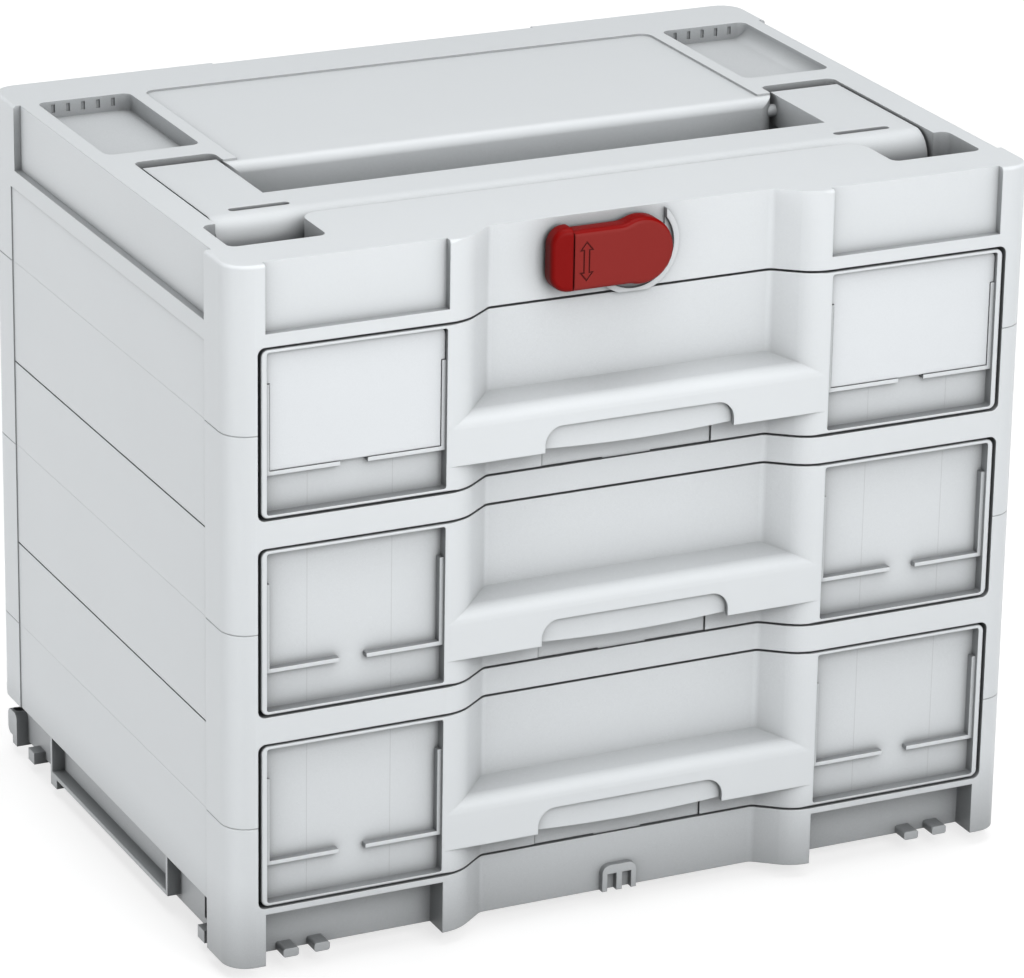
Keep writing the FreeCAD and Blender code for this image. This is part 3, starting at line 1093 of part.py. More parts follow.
def make_collar(collar_front):
    """Bearing collar behind the latch, with the guard that stands round the latch's end."""
    deep = (collar_front, RECESS_FACE)
    past = (f"{collar_front} - 1", f"{RECESS_FACE} + 1")
    disc = cylinder("collar_disc", "y", "0", deep, LATCH_Z, "collar_radius")
    ring = cylinder("guard_disc", "y", "0", deep, LATCH_Z, "guard_radius")
    inside_y = (f"{collar_front} - 1", f"{RECESS_FACE} - guard_floor")
    inside = cylinder("guard_inside", "y", "0", inside_y, LATCH_Z, "guard_inner")
    far = "(2 * guard_radius)"
    upper = box("guard_upper", (f"-{far}", "guard_end"), past, (LATCH_Z, f"{LATCH_Z} + {far}"))
    left = box("guard_left", (f"-{far}", "-guard_left"), past, (f"{LATCH_Z} - {far}", f"{LATCH_Z} + 1"))
    low_z = (f"{LATCH_Z} - {far}", f"{LATCH_Z} - guard_low")
    lower = box("guard_lower", (f"-{far}", far), past, low_z)
    guard = cut("guard", ring, inside, upper, left, lower)
    hole = cylinder("collar_hole", "y", "0", past, LATCH_Z, "latch_screw + latch_screw_clearance")
    keep("latch_collar", cut("collar_done", fuse("collar_whole", disc, guard), hole))


def arrow(name, y, grow):
    """An upright arrow with two heads, larger all round by grow: a shaft and two wedges stood on edge."""
    middle = f"({LATCH_Z} - mark_drop)"
    neck = f"(mark_half - mark_head - {grow})"
    tip = f"(mark_half + 1.6 * {grow})"
    wide = f"(mark_head_width / 2 / mark_head * ({tip} - {neck}))"
    shaft_x = about("-mark_set", f"(mark_shaft + 2 * {grow})")
    shaft_z = about(middle, "2 * (mark_half - mark_head + mark_line)")
    pieces = [box(name + "_shaft", shaft_x, y, shaft_z)]
    base_x = (f"-mark_set - {wide}", f"-mark_set + {wide}")
    tip_x = ("-mark_set - 0.02", "-mark_set + 0.02")
    upper = (base_x, tip_x, f"{middle} + {neck}", f"{middle} + {tip}")
    lower = (tip_x, base_x, f"{middle} - {tip}", f"{middle} - {neck}")
    for end, (low_x, high_x, low, high) in (("upper", upper), ("lower", lower)):
        head = doc.addObject("Part::Wedge", f"{name}_{end}")
        head.Placement = FreeCAD.Placement(FreeCAD.Vector(), FreeCAD.Rotation(FreeCAD.Vector(1, 0, 0), 90))
        bind(head, Ymin=low, Ymax=high, Xmin=low_x[0], Xmax=low_x[1], X2min=high_x[0], X2max=high_x[1])
        bind(head, Zmin=f"-({y[1]})", Z2min=f"-({y[1]})", Zmax=f"-({y[0]})", Z2max=f"-({y[0]})")
        pieces.append(head)
    return fuse(name, *pieces)


def latch_blend(name, way, edge, y):
    """The hollow blend between one edge of the latch's arm and its round end: a block less a disc."""
    reach = "(latch_radius + latch_blend)"
    level = f"({edge} + latch_blend)"
    beside = f"sqrt({reach} * {reach} - {level} * {level})"
    middle = f"({LATCH_Z} {way} {level})"
    x = (f"-{beside}", f"-{beside} * latch_radius / {reach}")
    low, high = f"({edge} - 2)", f"({level} * latch_radius / {reach})"
    z = (f"{LATCH_Z} + {low}", f"{LATCH_Z} + {high}")
    if way == "-":
        z = (f"{LATCH_Z} - {high}", f"{LATCH_Z} - {low}")
    past_y = (f"{y[0]} - 1", f"{y[1]} + 1")
    disc = cylinder(f"latch_blend_disc_{name}", "y", f"-{beside}", past_y, middle, "latch_blend")
    return cut(f"latch_blend_{name}", box(f"latch_blend_block_{name}", x, y, z), disc)


def grip_slope(front, z):
    """What the grip's sloping face takes away: it falls from the front plane towards the grip's end."""
    wedge = doc.addObject("Part::Wedge", "latch_slope")
    beyond = "(-latch_reach - 1)"
    bind(wedge, Ymin=f"{front} - grip_slope", Ymax=f"{front} + grip_slope")
    bind(wedge, Zmin=f"{z[0]} - 1", Z2min=f"{z[0]} - 1", Zmax=f"{z[1]} + 1", Z2max=f"{z[1]} + 1")
    bind(wedge, Xmin=beyond, X2min=beyond, Xmax="-latch_reach + 2 * grip_length", X2max="-latch_reach")
    return wedge


def rounded_at_end(pad):
    """A test for the edges of the grip's sloping face, other than the one beside the latch's arm."""
    doc.recompute()
    bounds = pad.Shape.BoundBox

    def wanted(edge):
        middle = edge.valueAt((edge.FirstParameter + edge.LastParameter) / 2)
        points = [vertex.Point for vertex in edge.Vertexes] + [middle]
        fall = size("grip_slope") / size("grip_length")
        for point in points:
            level = bounds.YMin + (bounds.XMax - point.x) * fall
            if abs(point.y - level) > 0.02:
                return False
        return middle.x < bounds.XMax - 0.1
    return wanted


def make_latch():
    """Rotary latch on its collar, with the pivot screw from behind and a friction washer."""
    collar_front = f"({RECESS_FACE} - collar_thick)"
    back = f"({collar_front} - latch_gap)"
    front = f"({back} - latch_thick)"
    arm_y = (f"{front} + grip_step", back)
    hub = cylinder("latch_hub", "y", "0", arm_y, LATCH_Z, "latch_radius")
    arm_x = ("-latch_reach + grip_length - grip_step", "0")
    arm_z = (f"{LATCH_Z} - latch_arm_low", f"{LATCH_Z} + latch_arm_top")
    arm_bar = box("latch_arm_bar", arm_x, arm_y, arm_z)
    upper = latch_blend("upper", "+", "latch_arm_top", arm_y)
    lower = latch_blend("lower", "-", "latch_arm_low", arm_y)
    outline = fuse("latch_outline", hub, arm_bar, upper, lower)
    doc.recompute()
    left_end = lies_at(x=outline.Shape.BoundBox.XMin)
    outer_edges = all_of(at_front(outline), lambda edge: not left_end(edge))
    arm = fillet("latch_arm", outline, "latch_edge", outer_edges)
    grip_z = (f"{LATCH_Z} - grip_low", f"{LATCH_Z} + grip_top")
    grip_x = ("-latch_reach", "-latch_reach + grip_length + grip_round")
    grip = rounded_box("latch_grip", grip_x, (front, back), grip_z, "grip_round", "y")
    end = box("latch_grip_end", ("-latch_reach", "-latch_reach + grip_length"), (front, back), grip_z)
    pad_block = cut("latch_pad_block", common("latch_grip_cut", grip, end), grip_slope(front, grip_z))
    pad = fillet("latch_pad", pad_block, "latch_edge", rounded_at_end(pad_block))
    bite = (f"{back} - latch_screw_bite", f"{back} + 1")
    socket = cylinder("latch_socket", "y", "0", bite, LATCH_Z, "latch_screw")
    groove_x = ("-latch_reach + grip_length", "-latch_reach + grip_length + grip_groove")
    groove_y = (f"{front} - 1", f"{arm_y[0]} + grip_groove_depth")
    groove = box("latch_groove", groove_x, groove_y, (f"{grip_z[0]} - 5", f"{grip_z[1]} + 5"))
    outer = arrow("mark_outer", (f"{front} - 1", f"{arm_y[0]} + mark_depth"), "(mark_line / 2)")
    inner = arrow("mark_inner", (f"{front} - 2", f"{arm_y[0]} + mark_depth + 1"), "(-mark_line / 2)")
    mark = cut("turning_mark", outer, inner)
    keep("rotary_latch", cut("latch_done", fuse("latch_whole", arm, pad), socket, groove, mark))
    make_collar(collar_front)

    wall_back = f"({RECESS_FACE} + lid_wall)"
    seat = f"({wall_back} + washer_thick)"
    washer = cylinder("washer_disc", "y", "0", (wall_back, seat), LATCH_Z, "washer_radius")
    hole_y = (f"{wall_back} - 1", f"{seat} + 1")
    hole = cylinder("washer_hole", "y", "0", hole_y, LATCH_Z, "latch_screw + latch_screw_clearance")
    keep("latch_washer", cut("washer_done", washer, hole))
    head_y = (f"{seat} + latch_gap", f"{seat} + latch_gap + latch_screw_head_height")
    shank_y = (f"{back} - latch_screw_bite", f"{head_y[0]} + 1")
    shank = cylinder("latch_screw_shank", "y", "0", shank_y, LATCH_Z, "latch_screw")
    head = cylinder("latch_screw_cap", "y", "0", head_y, LATCH_Z, "latch_screw_head")
    keep("latch_pivot_screw", fuse("latch_screw_done", shank, head))


make_base()
make_frame("lower_frame", 1)
make_frame("upper_frame", 2)
make_top()
make_tie_rods()
for drawer_level in range(len(DRAWERS)):
    make_drawer(drawer_level)
make_handle()
make_latch()

doc.recompute()
failed = [thing.Name for thing in doc.Objects if "Invalid" in thing.State or "Error" in thing.State]
if failed:
    raise RuntimeError("failed objects: " + ", ".join(failed))
for label, solid in nodes.items():
    if solid.Shape.isNull() or not solid.Shape.isValid() or not solid.Shape.Solids:
        raise RuntimeError("bad shape: " + label)
os.makedirs("parts", exist_ok=True)
for label, solid in nodes.items():
    solid.Shape.exportStep(f"parts/{label}.step")
    print(f"{label}: {len(solid.Shape.Solids)} solid, {solid.Shape.Volume / 1000:.1f} cm3")
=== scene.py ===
import math

import bpy
import numpy as np
from mathutils import Matrix, Vector


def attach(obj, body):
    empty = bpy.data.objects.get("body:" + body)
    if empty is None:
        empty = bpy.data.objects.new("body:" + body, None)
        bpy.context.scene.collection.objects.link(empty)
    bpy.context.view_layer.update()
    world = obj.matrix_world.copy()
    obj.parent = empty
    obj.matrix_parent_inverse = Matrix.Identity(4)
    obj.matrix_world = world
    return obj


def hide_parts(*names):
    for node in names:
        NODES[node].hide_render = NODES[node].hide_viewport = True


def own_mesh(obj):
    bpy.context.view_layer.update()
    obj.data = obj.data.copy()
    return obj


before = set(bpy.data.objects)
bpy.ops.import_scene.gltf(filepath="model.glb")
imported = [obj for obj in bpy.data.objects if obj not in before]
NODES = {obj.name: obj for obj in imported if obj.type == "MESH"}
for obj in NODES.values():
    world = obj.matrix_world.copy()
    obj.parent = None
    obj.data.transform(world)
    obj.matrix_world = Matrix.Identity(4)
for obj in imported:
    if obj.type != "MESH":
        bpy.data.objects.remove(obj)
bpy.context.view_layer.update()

bl_info = {
    "name": "Stackable Tool Case",
    "version": (1, 0, 0),
    "blender": (4, 5, 0),
    "location": "3D View > Sidebar > Tool Case",
    "description": "Finishes, leaf springs, studio and camera for a stackable tool case with drawers",
    "category": "Object",
}

DRAWERS = ("bottom", "middle", "top")
WHITE = (1.0, 1.0, 1.0, 1.0)

# Floor of the drawers' label pockets and the fine witness lines on it, in metres, with their relief
POCKET_FLOOR_Y = -0.1427
POCKET_FLOOR_BAND = 0.0004
WITNESS_X = (0.1594, 0.1188)
WITNESS_HALF = 0.00022
WITNESS_RELIEF = 0.8

# The latch's front face (painted lighter as sheen), where its grip begins, and the arrow engraved in the
# face (with painted shade along its edges), in metres
LATCH_FACE_Y = -0.14603
GRIP_EDGE_X = -0.0347
MARK_BACK_Y = -0.1455
MARK_X = -0.0279
MARK_Z = 0.3186
MARK_LINE_HALF = 0.0003
ARROW_HALF = 0.0088
ARROW_HEAD_FOOT = 0.0052
ARROW_HEAD_TAPER = 0.806
ARROW_TIP_GROWTH = 1.6
ARROW_SHAFT_HALF = 0.0013
ARROW_SHAFT_END = 0.0056

# Relief of the moulded grain, how far roughness varies with it, and values of single finishes
RELIEF_STRENGTH = 0.05
RELIEF_DEPTH = 0.0003
GRAIN_ROUGHNESS = 0.08
CLOUD_SCALE = 16.0
LATCH_ROUGHNESS = 0.46
LATCH_SHEEN = 0.125
MOTTLE_SCALE = 900.0

# Floor and surroundings: the floor's own white is weaker near the case, so that its shadow shows
FLOOR_HALF = 14.0
FLOOR_WHITE = 0.72
FLOOR_NEAR = 1.2
FLOOR_FAR = 2.2
WORLD_LIGHT = 0.06

# Lamps: name, place, width in metres, power in watts, and whether surfaces mirror them
LAMP_TARGET = (0.0, 0.0, 0.17)
LAMPS = (
    ("front_box", (0.0, -1.25, 0.72), 0.9, 13.6, True),
    ("top_box", (0.0, -0.1, 3.0), 2.3, 56.0, True),
    ("left_box", (-2.2, 0.4, 0.52), 0.9, 23.7, False),
    ("right_box", (2.2, 0.4, 0.52), 0.9, 20.0, False),
    ("back_box", (0.0, 2.4, 0.55), 0.9, 24.0, False),
)


class CaseColours(bpy.types.PropertyGroup):
    """Colours of the case's finishes."""
    grey: bpy.props.FloatVectorProperty(
        name="Housing grey", description="Light grey of the moulded housing", subtype="COLOR", size=3,
        min=0.0, max=1.0, default=(0.745, 0.775, 0.795))
    tray: bpy.props.FloatVectorProperty(
        name="Tray grey", description="Light grey of the drawer trays", subtype="COLOR", size=3,
        min=0.0, max=1.0, default=(0.66, 0.685, 0.70))
    insert: bpy.props.FloatVectorProperty(
        name="Insert grey", description="Pale grey of the blank label inserts", subtype="COLOR", size=3,
        min=0.0, max=1.0, default=(0.77, 0.80, 0.825))
    # The latch red is the front face's colour, lightened by painted sheen; the grip red is the latch's red
    # without that sheen, on the grip and the edges.
    red: bpy.props.FloatVectorProperty(
        name="Latch red", description="Deep red of the rotary latch", subtype="COLOR", size=3,
        min=0.0, max=1.0, default=(0.25, 0.0226, 0.0193))
    grip: bpy.props.FloatVectorProperty(
        name="Grip red", description="Deeper red of the latch's grip and edges", subtype="COLOR", size=3,
        min=0.0, max=1.0, default=(0.225, 0.0010, 0.0004))
    steel: bpy.props.FloatVectorProperty(
        name="Steel", description="Zinc-coated steel of pins, rods, screws and springs",
        subtype="COLOR", size=3, min=0.0, max=1.0, default=(0.56, 0.57, 0.58))
    floor: bpy.props.FloatVectorProperty(
        name="Floor", description="Pale studio floor", subtype="COLOR", size=3,
        min=0.0, max=1.0, default=(0.35, 0.35, 0.35))


class CaseFinish(bpy.types.PropertyGroup):
    """Sizes of the finishes' fine detail, of the shade painted into corners, and of the leaf springs."""
    edge: bpy.props.FloatProperty(
        name="Edge rounding", description="Radius that the moulded edges catch light with", default=0.0007,
        min=0.0, max=0.003, unit="LENGTH")
    grain: bpy.props.FloatProperty(
        name="Grain", description="Size of the moulded grain",
        default=0.0007, min=0.0001, max=0.01, unit="LENGTH")
    # The crevice settings paint shade into the plastic's colour: darker towards corners and between parts,
    # from an ambient occlusion node.
    crevice: bpy.props.FloatProperty(
        name="Crevice reach", description="How far from a corner the plastic looks darker",
        default=0.05, min=0.001, max=0.2, unit="LENGTH")
    painted_shade_tone: bpy.props.FloatProperty(
        name="Crevice tone", description="Share of the colour that is left deep in a crevice",
        default=0.15, min=0.0, max=1.0, subtype="FACTOR")
    painted_shade_power: bpy.props.FloatProperty(
        name="Crevice power", description="How sharply the housing darkens towards a corner",
        default=1.4, min=0.5, max=4.0)
    drawer_painted_shade_power: bpy.props.FloatProperty(
        name="Drawer crevice power", description="How sharply the drawers darken towards a corner",
        default=1.9, min=0.5, max=4.0)
    roughness: bpy.props.FloatProperty(
        name="Roughness", description="Roughness of the satin plastic",
        default=0.46, min=0.0, max=1.0, subtype="FACTOR")
    spring_strip: bpy.props.FloatProperty(
        name="Spring strip", description="Thickness of the levers' leaf springs",
        default=0.0005, min=0.0001, max=0.002, unit="LENGTH")
    spring_left: bpy.props.FloatProperty(
        name="Spring left", description="Share of a leaf spring's height left when its lever is squeezed",
        default=0.7, min=0.1, max=1.0, subtype="FACTOR")


class CaseView(bpy.types.PropertyGroup):
    """Place and lens of the camera."""
    azimuth: bpy.props.FloatProperty(
        name="Azimuth", description="Turn of the camera about the case",
        default=math.radians(-25.7209), subtype="ANGLE")
    elevation: bpy.props.FloatProperty(
        name="Elevation", description="Height angle of the camera",
        default=math.radians(20.6845), subtype="ANGLE")
    roll: bpy.props.FloatProperty(
        name="Roll", description="Turn of the camera about its line of sight",
        default=math.radians(0.9624), subtype="ANGLE")
    place: bpy.props.FloatVectorProperty(
        name="Place", description="Where the camera stands", size=3,
        default=(-1.00570, -2.10471, 1.03771), subtype="TRANSLATION")
    lens: bpy.props.FloatProperty(
        name="Lens", description="Focal length on a 36 mm wide frame",
        default=184.6, min=10.0, unit="CAMERA")


class Flow:
    """A socket of a node tree with arithmetic: each operator on values adds one Math node."""

    def __init__(self, tree, socket=None):
        self.tree = tree
        self.socket = socket

    def node(self, kind, settings=None, sockets=None, output=0):
        """Add any node: its settings first, then values or links for its sockets; returns one output."""
        made = self.tree.nodes.new(kind)
        for key, value in (settings or {}).items():
            setattr(made, key, value)
        for key, value in (sockets or {}).items():
            if isinstance(value, Flow):
                self.tree.links.new(value.socket, made.inputs[key])
            else:
                made.inputs[key].default_value = value
        return Flow(self.tree, made.outputs[output] if len(made.outputs) else None)

    def maths(self, operation, *values):
        return self.node("ShaderNodeMath", {"operation": operation}, dict(enumerate(values)))

    def __add__(self, other):
        return self.maths("ADD", self, other)

    def __radd__(self, other):
        return self.maths("ADD", other, self)

    def __sub__(self, other):
        return self.maths("SUBTRACT", self, other)

    def __rsub__(self, other):
        return self.maths("SUBTRACT", other, self)

    def __mul__(self, other):
        return self.maths("MULTIPLY", self, other)

    def __rmul__(self, other):
        return self.maths("MULTIPLY", other, self)

    def __lt__(self, other):
        return self.maths("LESS_THAN", self, other)

    def __gt__(self, other):
        return self.maths("GREATER_THAN", self, other)

    def __pow__(self, other):
        return self.maths("POWER", self, other)

    def __abs__(self):
        return self.maths("ABSOLUTE", self)

    def above(self, other):
        """The larger of two values."""
        return self.maths("MAXIMUM", self, other)

    def mix(self, first, second):
        """A colour between two, by this value."""
        return self.node("ShaderNodeMix", {"data_type": "RGBA"}, {0: self, 6: first, 7: second}, 2)


def new_material(name):
    """An empty material's start, for Flow nodes."""
    material = bpy.data.materials.new(name)
    material.use_nodes = True
    material.node_tree.nodes.clear()
    return material, Flow(material.node_tree)


def shade(colour, factor):
    """A colour made darker or lighter by a factor, as the four numbers a socket takes."""
    return (*(min(1.0, channel * factor) for channel in colour), 1.0)


def end(start, **sockets):
    """Close a material with one principled shader."""
    values = {key.replace("_", " "): value for key, value in sockets.items()}
    shader = start.node("ShaderNodeBsdfPrincipled", None, values)
    start.node("ShaderNodeOutputMaterial", None, {"Surface": shader})


def axes_of(place):
    """The three components of a vector, one Flow each."""
    parts = place.node("ShaderNodeSeparateXYZ", None, {"Vector": place})
    return [Flow(place.tree, output) for output in parts.socket.node.outputs]


def crevice(start, power):
    """1 in the open, falling to 0 deep in a corner; it sets how much shade is painted into a colour."""
    reach = bpy.context.scene.case_finish.crevice
    return start.node("ShaderNodeAmbientOcclusion", {"samples": 8}, {"Distance": reach}, "AO") ** power


def noise(place, scale, detail, roughness):
    """Even noise at a place, about 0.5."""
    sockets = {"Vector": place, "Scale": scale, "Detail": detail, "Roughness": roughness}
    return place.node("ShaderNodeTexNoise", None, sockets)


def softened(start, height):
    """Normal of a surface with edges that look rounded and with a faint relief."""
    edge = start.node("ShaderNodeBevel", {"samples": 6}, {"Radius": bpy.context.scene.case_finish.edge})
    sockets = {"Strength": RELIEF_STRENGTH, "Distance": RELIEF_DEPTH, "Height": height, "Normal": edge}
    return start.node("ShaderNodeBump", None, sockets)


def moulded_plastic(name, colour, roughness, power, pocket_lines=False):
    """Satin moulded plastic with fine grain, faint clouding, softened edges, and shade painted darker into
    corners and between parts.

    The drawer fronts also have witness lines in their label pockets.
    """
    finish = bpy.context.scene.case_finish
    material, start = new_material(name)
    place = start.node("ShaderNodeTexCoord", output="Object")
    grain = noise(place, 1 / finish.grain, 2.0, 0.6)
    cloud = noise(place, CLOUD_SCALE, 3.0, 0.55)
    tone = cloud.mix(shade(colour, 0.982), shade(colour, 1.012))
    height = grain
    if pocket_lines:
        x, depth, _ = axes_of(place)
        across = abs(x)
        on_floor = abs(depth - POCKET_FLOOR_Y) < POCKET_FLOOR_BAND
        outer, inner = (abs(across - middle) < WITNESS_HALF for middle in WITNESS_X)
        line = on_floor * (outer + inner)
        tone = line.mix(tone, shade(colour, 0.86))
        height = grain - line * WITNESS_RELIEF
    # Painted shade: the colour darkens towards corners and between parts, by ambient occlusion.
    tone = crevice(start, power).mix(shade(colour, finish.painted_shade_tone), tone)
    rough = roughness - GRAIN_ROUGHNESS / 2 + grain * GRAIN_ROUGHNESS
    end(start, Base_Color=tone, Roughness=rough, Normal=softened(start, height), IOR=1.46)
    return material


def arrow(x, z, grow):
    """1 inside a double-headed upright arrow, a shaft and two triangles, made larger all round by grow."""
    tip = ARROW_HALF + grow * ARROW_TIP_GROWTH
    head = (x < (tip - z) * ARROW_HEAD_TAPER) * (z > ARROW_HEAD_FOOT - grow)
    shaft = (x < ARROW_SHAFT_HALF + grow) * (z < ARROW_SHAFT_END)
    return head.above(shaft)


def latch_plastic(name, colour, grip):
    """Satin red with painted light: the front face beside the grip is painted lighter as sheen, so the grip
    and the edges look deeper red, and painted shade darkens the lines along the engraved arrow's edges and
    the corners.
    """
    finish = bpy.context.scene.case_finish
    material, start = new_material(name)
    place = start.node("ShaderNodeTexCoord", output="Object")
    x, y, z = axes_of(place)
    grain = noise(place, 1 / finish.grain, 2.0, 0.6)
    # Painted sheen: the front face, beside the grip, gets the lighter red; the grip and the edges keep the
    # deeper red.
    sheen_face = (y < LATCH_FACE_Y) * (x > GRIP_EDGE_X)
    tone = sheen_face.mix(shade(grip, 1.0), grain.mix(shade(colour, 0.97), shade(colour, 1.03)))
    # Painted shade: a thin darker outline along the engraved arrow's edges, on the front face only.
    beside, up = abs(x - MARK_X), abs(z - MARK_Z)
    outline = arrow(beside, up, MARK_LINE_HALF) - arrow(beside, up, -MARK_LINE_HALF)
    painted_edge_shade = outline * (y < MARK_BACK_Y)
    tone = painted_edge_shade.mix(tone, shade(colour, 0.6))
    # Painted shade: the red darkens towards corners and between parts, by ambient occlusion.
    tone = crevice(start, finish.painted_shade_power).mix(shade(colour, finish.painted_shade_tone), tone)
    rough = LATCH_ROUGHNESS + grain * GRAIN_ROUGHNESS
    normal = softened(start, grain)
    end(start, Base_Color=tone, Roughness=rough, Normal=normal, Specular_IOR_Level=LATCH_SHEEN)
    return material


def plain_steel(name, colour):
    """Zinc-coated steel with fine mottling and slightly uneven gloss."""
    material, start = new_material(name)
    place = start.node("ShaderNodeTexCoord", output="Object")
    mottle = start.node("ShaderNodeTexNoise", None, {"Vector": place, "Scale": MOTTLE_SCALE, "Detail": 3.0})
    tone = mottle.mix(shade(colour, 0.88), shade(colour, 1.08))
    end(start, Base_Color=tone, Roughness=0.28 + mottle * 0.16, Metallic=1.0)
    return material


def paint(material, *names):
    """Put a finish on CAD nodes."""
    for name in names:
        piece = NODES[name]
        if not piece.material_slots:
            piece.data.materials.append(material)
        for slot in piece.material_slots:
            slot.material = material


def new_piece(name, points, faces, material, body):
    """A mesh piece at the origin that rides on a body and takes a slot's finish."""
    mesh = bpy.data.meshes.new(name)
    mesh.from_pydata(points.tolist(), [], faces.tolist())
    mesh.update()
    piece = bpy.data.objects.new(name, mesh)
    bpy.context.scene.collection.objects.link(piece)
    piece.data.materials.append(material)
    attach(piece, body)
    return piece


def bowed_strip(low, high, strip, steps=48):
    """Points and faces of a leaf spring bowed to half a ring in the box from low to high.

    With t from 0 to pi along the bow and a corner (r, y) of the strip's section,
    x = middle + r cos t and z = low + r sin t; r is the bow's radius or the radius less the strip.
    """
    radius = high[2] - low[2]
    turn = np.linspace(0.0, np.pi, steps + 1)[:, None]
    reach = np.array([radius, radius, radius - strip, radius - strip])
    depth = np.array([low[1], high[1], high[1], low[1]])
    x = (low[0] + high[0]) / 2 + reach * np.cos(turn)
    z = low[2] + reach * np.sin(turn)
    points = np.stack((x, np.broadcast_to(depth, x.shape), z), axis=-1).reshape(-1, 3)
    row, corner = np.meshgrid(np.arange(steps), np.arange(4), indexing="ij")
    here, beside = row * 4 + corner, row * 4 + (corner + 1) % 4
    sides = np.stack((here, beside, beside + 4, here + 4), axis=-1).reshape(-1, 4)
    ends = np.array([(3, 2, 1, 0), steps * 4 + np.arange(4)])
    return points, np.concatenate((sides, ends))


class CASE_OT_housing(bpy.types.Operator):
    """Finish the stacked housing shells and the collar behind the latch"""
    bl_idname = "tool_case.housing"
    bl_label = "Housing"

    def execute(self, context):
        colours, finish = context.scene.case_colours, context.scene.case_finish
        grey = moulded_plastic("housing_satin_grey", colours.grey, finish.roughness, finish.painted_shade_power)
        paint(grey, "base_shell", "lower_frame", "upper_frame", "top_shell", "latch_collar")
        return {"FINISHED"}


class CASE_OT_drawers(bpy.types.Operator):
    """Finish the drawer fronts, trays, levers and label inserts"""
    bl_idname = "tool_case.drawers"
    bl_label = "Drawers"

    def execute(self, context):
        colours = context.scene.case_colours
        roughness = context.scene.case_finish.roughness
        # How sharply shade is painted into the drawers' corners
        power = context.scene.case_finish.drawer_painted_shade_power
        front = moulded_plastic("drawer_satin_grey", colours.grey, roughness, power, pocket_lines=True)
        lever = moulded_plastic("lever_satin_grey", colours.grey, roughness, power)
        tray = moulded_plastic("tray_smooth_grey", colours.tray, roughness - 0.06, power)
        insert = moulded_plastic("insert_smooth_grey", colours.insert, roughness - 0.08, power)
        for drawer in DRAWERS:
            paint(front, "drawer_front_" + drawer)
            paint(tray, "drawer_tray_" + drawer)
            paint(lever, "release_lever_" + drawer)
        paint(insert, "label_insert_left", "label_insert_right")
        return {"FINISHED"}


class CASE_OT_handle(bpy.types.Operator):
    """Finish the folding carry handle and its pins"""
    bl_idname = "tool_case.handle"
    bl_label = "Carry handle"

    def execute(self, context):
        colours, finish = context.scene.case_colours, context.scene.case_finish
        roughness = finish.roughness - 0.03
        grey = moulded_plastic("handle_satin_grey", colours.grey, roughness, finish.painted_shade_power)
        paint(grey, "carry_handle", "handle_pins")
        return {"FINISHED"}


class CASE_OT_latch(bpy.types.Operator):
    """Finish the rotary latch, painting sheen on its front face and shade along the lines of its engraved
    arrow
    """
    bl_idname = "tool_case.latch"
    bl_label = "Rotary latch"

    def execute(self, context):
        colours = context.scene.case_colours
        paint(latch_plastic("latch_satin_red", colours.red, colours.grip), "rotary_latch")
        return {"FINISHED"}


class CASE_OT_springs(bpy.types.Operator):
    """Make the levers' leaf springs as bowed steel strips that ride on the drawers, in place of the CAD
    springs
    """
    bl_idname = "tool_case.springs"
    bl_label = "Leaf springs"

    def execute(self, context):
        finish = context.scene.case_finish
        steel = plain_steel("spring_steel", context.scene.case_colours.steel)
        for drawer in DRAWERS:
            node = "lever_spring_" + drawer
            corners = np.array(NODES[node].bound_box)
            low, high = corners.min(axis=0), corners.max(axis=0)
            points, faces = bowed_strip(low, high, finish.spring_strip)
            spring = new_piece("leaf_spring_" + drawer, points, faces, steel, "drawer_" + drawer)
            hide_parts(node)
            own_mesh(spring)
        return {"FINISHED"}


class CASE_OT_metal(bpy.types.Operator):
    """Finish the pins, rods, screws, springs and washer of the CAD model"""
    bl_idname = "tool_case.metal"
    bl_label = "Metal pieces"

    def execute(self, context):
        steel = plain_steel("zinc_steel", context.scene.case_colours.steel)
        paint(steel, "tie_rods", "latch_washer", "latch_pivot_screw")
        for drawer in DRAWERS:
            paint(steel, "front_screws_" + drawer, "lever_pin_" + drawer, "lever_spring_" + drawer)
        return {"FINISHED"}


def soft_box(name, place, target, wide, power, mirrored):
    """A square studio lamp that faces a point; one that isn't mirrored gives light but no sheen."""
    lamp = bpy.data.lights.new(name, "AREA")
    lamp.shape = "SQUARE"
    lamp.size = wide
    lamp.energy = power
    holder = bpy.data.objects.new(name, lamp)
    bpy.context.scene.collection.objects.link(holder)
    holder.visible_camera = False
    holder.visible_glossy = mirrored
    holder.location = place
    holder.rotation_euler = (Vector(target) - Vector(place)).to_track_quat("-Z", "Y").to_euler()


def rays_of(start, *kinds):
    """1 for rays of these kinds and 0 for the rest."""
    outputs = start.node("ShaderNodeLightPath").socket.node.outputs
    found, *others = [Flow(start.tree, outputs[kind]) for kind in kinds]
    for other in others:
        found = found.above(other)
    return found


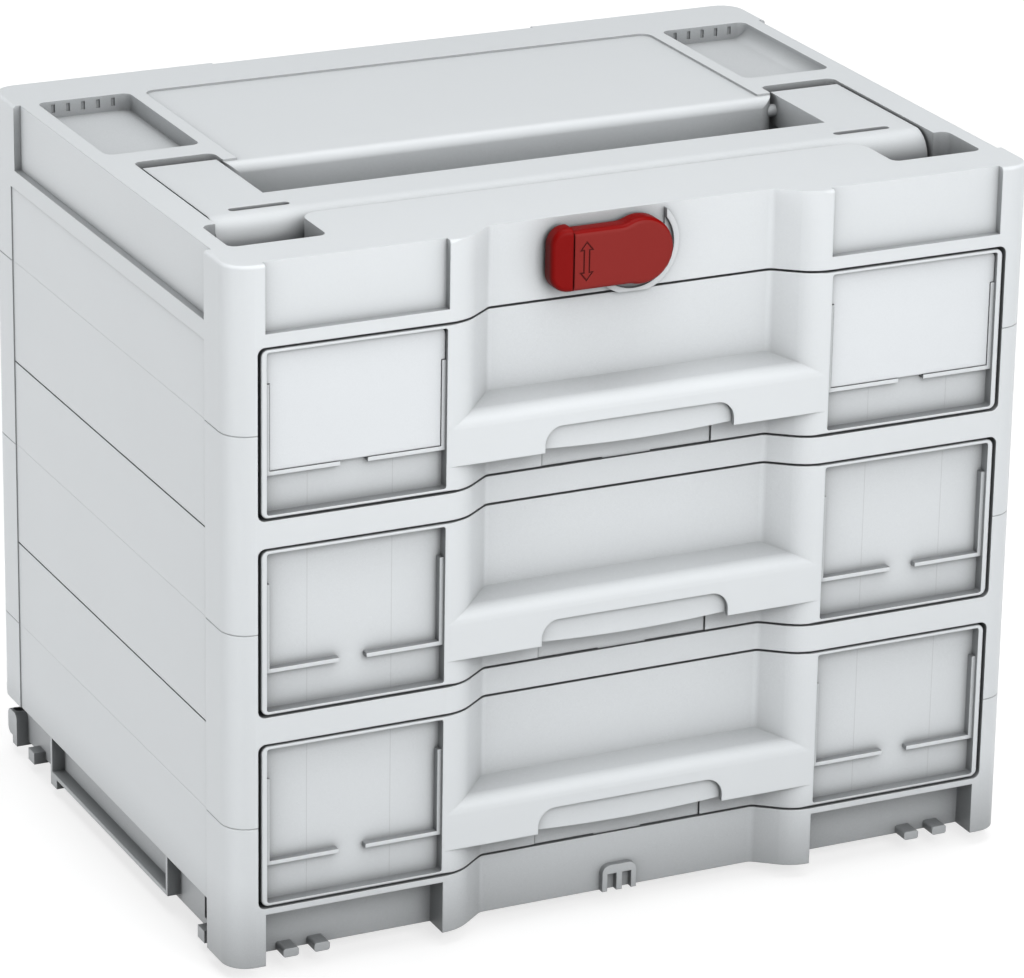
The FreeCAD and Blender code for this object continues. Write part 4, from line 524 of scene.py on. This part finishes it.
class CASE_OT_studio(bpy.types.Operator):
    """Pale floor, soft lamps, white surroundings and the camera"""
    bl_idname = "tool_case.studio"
    bl_label = "Studio"

    def execute(self, context):
        scene = context.scene
        scene.view_settings.view_transform = "Standard"
        self.floor(scene)
        self.surroundings(scene)
        for name, place, wide, power, mirrored in LAMPS:
            soft_box(name, place, LAMP_TARGET, wide, power, mirrored)
        self.camera(scene)
        return {"FINISHED"}

    def floor(self, scene):
        """One large square at the feet's level, white to the camera but with the case's soft shadow."""
        corners = FLOOR_HALF * np.array([(-1, -1, 0), (1, -1, 0), (1, 1, 0), (-1, 1, 0)])
        mesh = bpy.data.meshes.new("floor")
        mesh.from_pydata(corners.tolist(), [], [(0, 1, 2, 3)])
        ground = bpy.data.objects.new("floor", mesh)
        scene.collection.objects.link(ground)
        material, start = new_material("floor_pale")
        seen = rays_of(start, "Is Camera Ray", "Is Glossy Ray", "Is Transmission Ray")
        matt = start.node("ShaderNodeBsdfDiffuse", None, {"Color": (*scene.case_colours.floor, 1.0)})
        place = start.node("ShaderNodeTexCoord", output="Object")
        far = start.node("ShaderNodeVectorMath", {"operation": "LENGTH"}, {0: place}, "Value")
        ramp = {"Value": far, "From Min": FLOOR_NEAR, "From Max": FLOOR_FAR, "To Min": FLOOR_WHITE}
        level = start.node("ShaderNodeMapRange", None, ramp)
        lift = start.node("ShaderNodeEmission", None, {"Color": WHITE, "Strength": seen * level})
        both = start.node("ShaderNodeAddShader", None, {0: matt, 1: lift})
        start.node("ShaderNodeOutputMaterial", None, {"Surface": both})
        mesh.materials.append(material)

    def surroundings(self, scene):
        """A white world: full white to the camera, much weaker as light and in reflections."""
        world = bpy.data.worlds.new("studio_white")
        world.use_nodes = True
        world.node_tree.nodes.clear()
        start = Flow(world.node_tree)
        seen = rays_of(start, "Is Camera Ray", "Is Transmission Ray")
        strength = WORLD_LIGHT + seen * (1.0 - WORLD_LIGHT)
        white = start.node("ShaderNodeBackground", None, {"Color": WHITE, "Strength": strength})
        start.node("ShaderNodeOutputWorld", None, {"Surface": white})
        scene.world = world

    def camera(self, scene):
        """Camera from its two angles, roll and place."""
        view = scene.case_view
        flat = math.cos(view.elevation)
        height = math.sin(view.elevation)
        back = Vector((math.sin(view.azimuth) * flat, -math.cos(view.azimuth) * flat, height))
        level = Vector((math.cos(view.azimuth), math.sin(view.azimuth), 0.0))
        rise = back.cross(level)
        right = math.cos(view.roll) * level + math.sin(view.roll) * rise
        up = math.cos(view.roll) * rise - math.sin(view.roll) * level
        eye = bpy.data.cameras.new("camera")
        eye.sensor_width = 36.0
        eye.lens = view.lens
        eye.clip_end = 100.0
        holder = bpy.data.objects.new("camera", eye)
        scene.collection.objects.link(holder)
        turn = Matrix((right, up, back)).transposed().to_4x4()
        holder.matrix_world = Matrix.Translation(Vector(view.place)) @ turn
        scene.camera = holder


STEPS = (CASE_OT_housing, CASE_OT_drawers, CASE_OT_handle, CASE_OT_latch, CASE_OT_metal,
         CASE_OT_springs, CASE_OT_studio)


class CASE_PT_panel(bpy.types.Panel):
    """Buttons and values for the tool case"""
    bl_label = "Tool Case"
    bl_space_type = "VIEW_3D"
    bl_region_type = "UI"
    bl_category = "Tool Case"

    def draw(self, context):
        column = self.layout.column()
        for group in (context.scene.case_colours, context.scene.case_finish, context.scene.case_view):
            for key in group.__annotations__:
                column.prop(group, key)
        for step in STEPS:
            column.operator(step.bl_idname)


CLASSES = (CaseColours, CaseFinish, CaseView, *STEPS, CASE_PT_panel)


def register():
    for cls in CLASSES:
        bpy.utils.register_class(cls)
    bpy.types.Scene.case_colours = bpy.props.PointerProperty(type=CaseColours)
    bpy.types.Scene.case_finish = bpy.props.PointerProperty(type=CaseFinish)
    bpy.types.Scene.case_view = bpy.props.PointerProperty(type=CaseView)


def unregister():
    del bpy.types.Scene.case_view
    del bpy.types.Scene.case_finish
    del bpy.types.Scene.case_colours
    for cls in reversed(CLASSES):
        bpy.utils.unregister_class(cls)


def main():
    """Register the add-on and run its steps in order."""
    register()
    bpy.ops.tool_case.housing()
    bpy.ops.tool_case.drawers()
    bpy.ops.tool_case.handle()
    bpy.ops.tool_case.latch()
    bpy.ops.tool_case.metal()
    bpy.ops.tool_case.springs()
    bpy.ops.tool_case.studio()


if __name__ == "__main__":
    main()
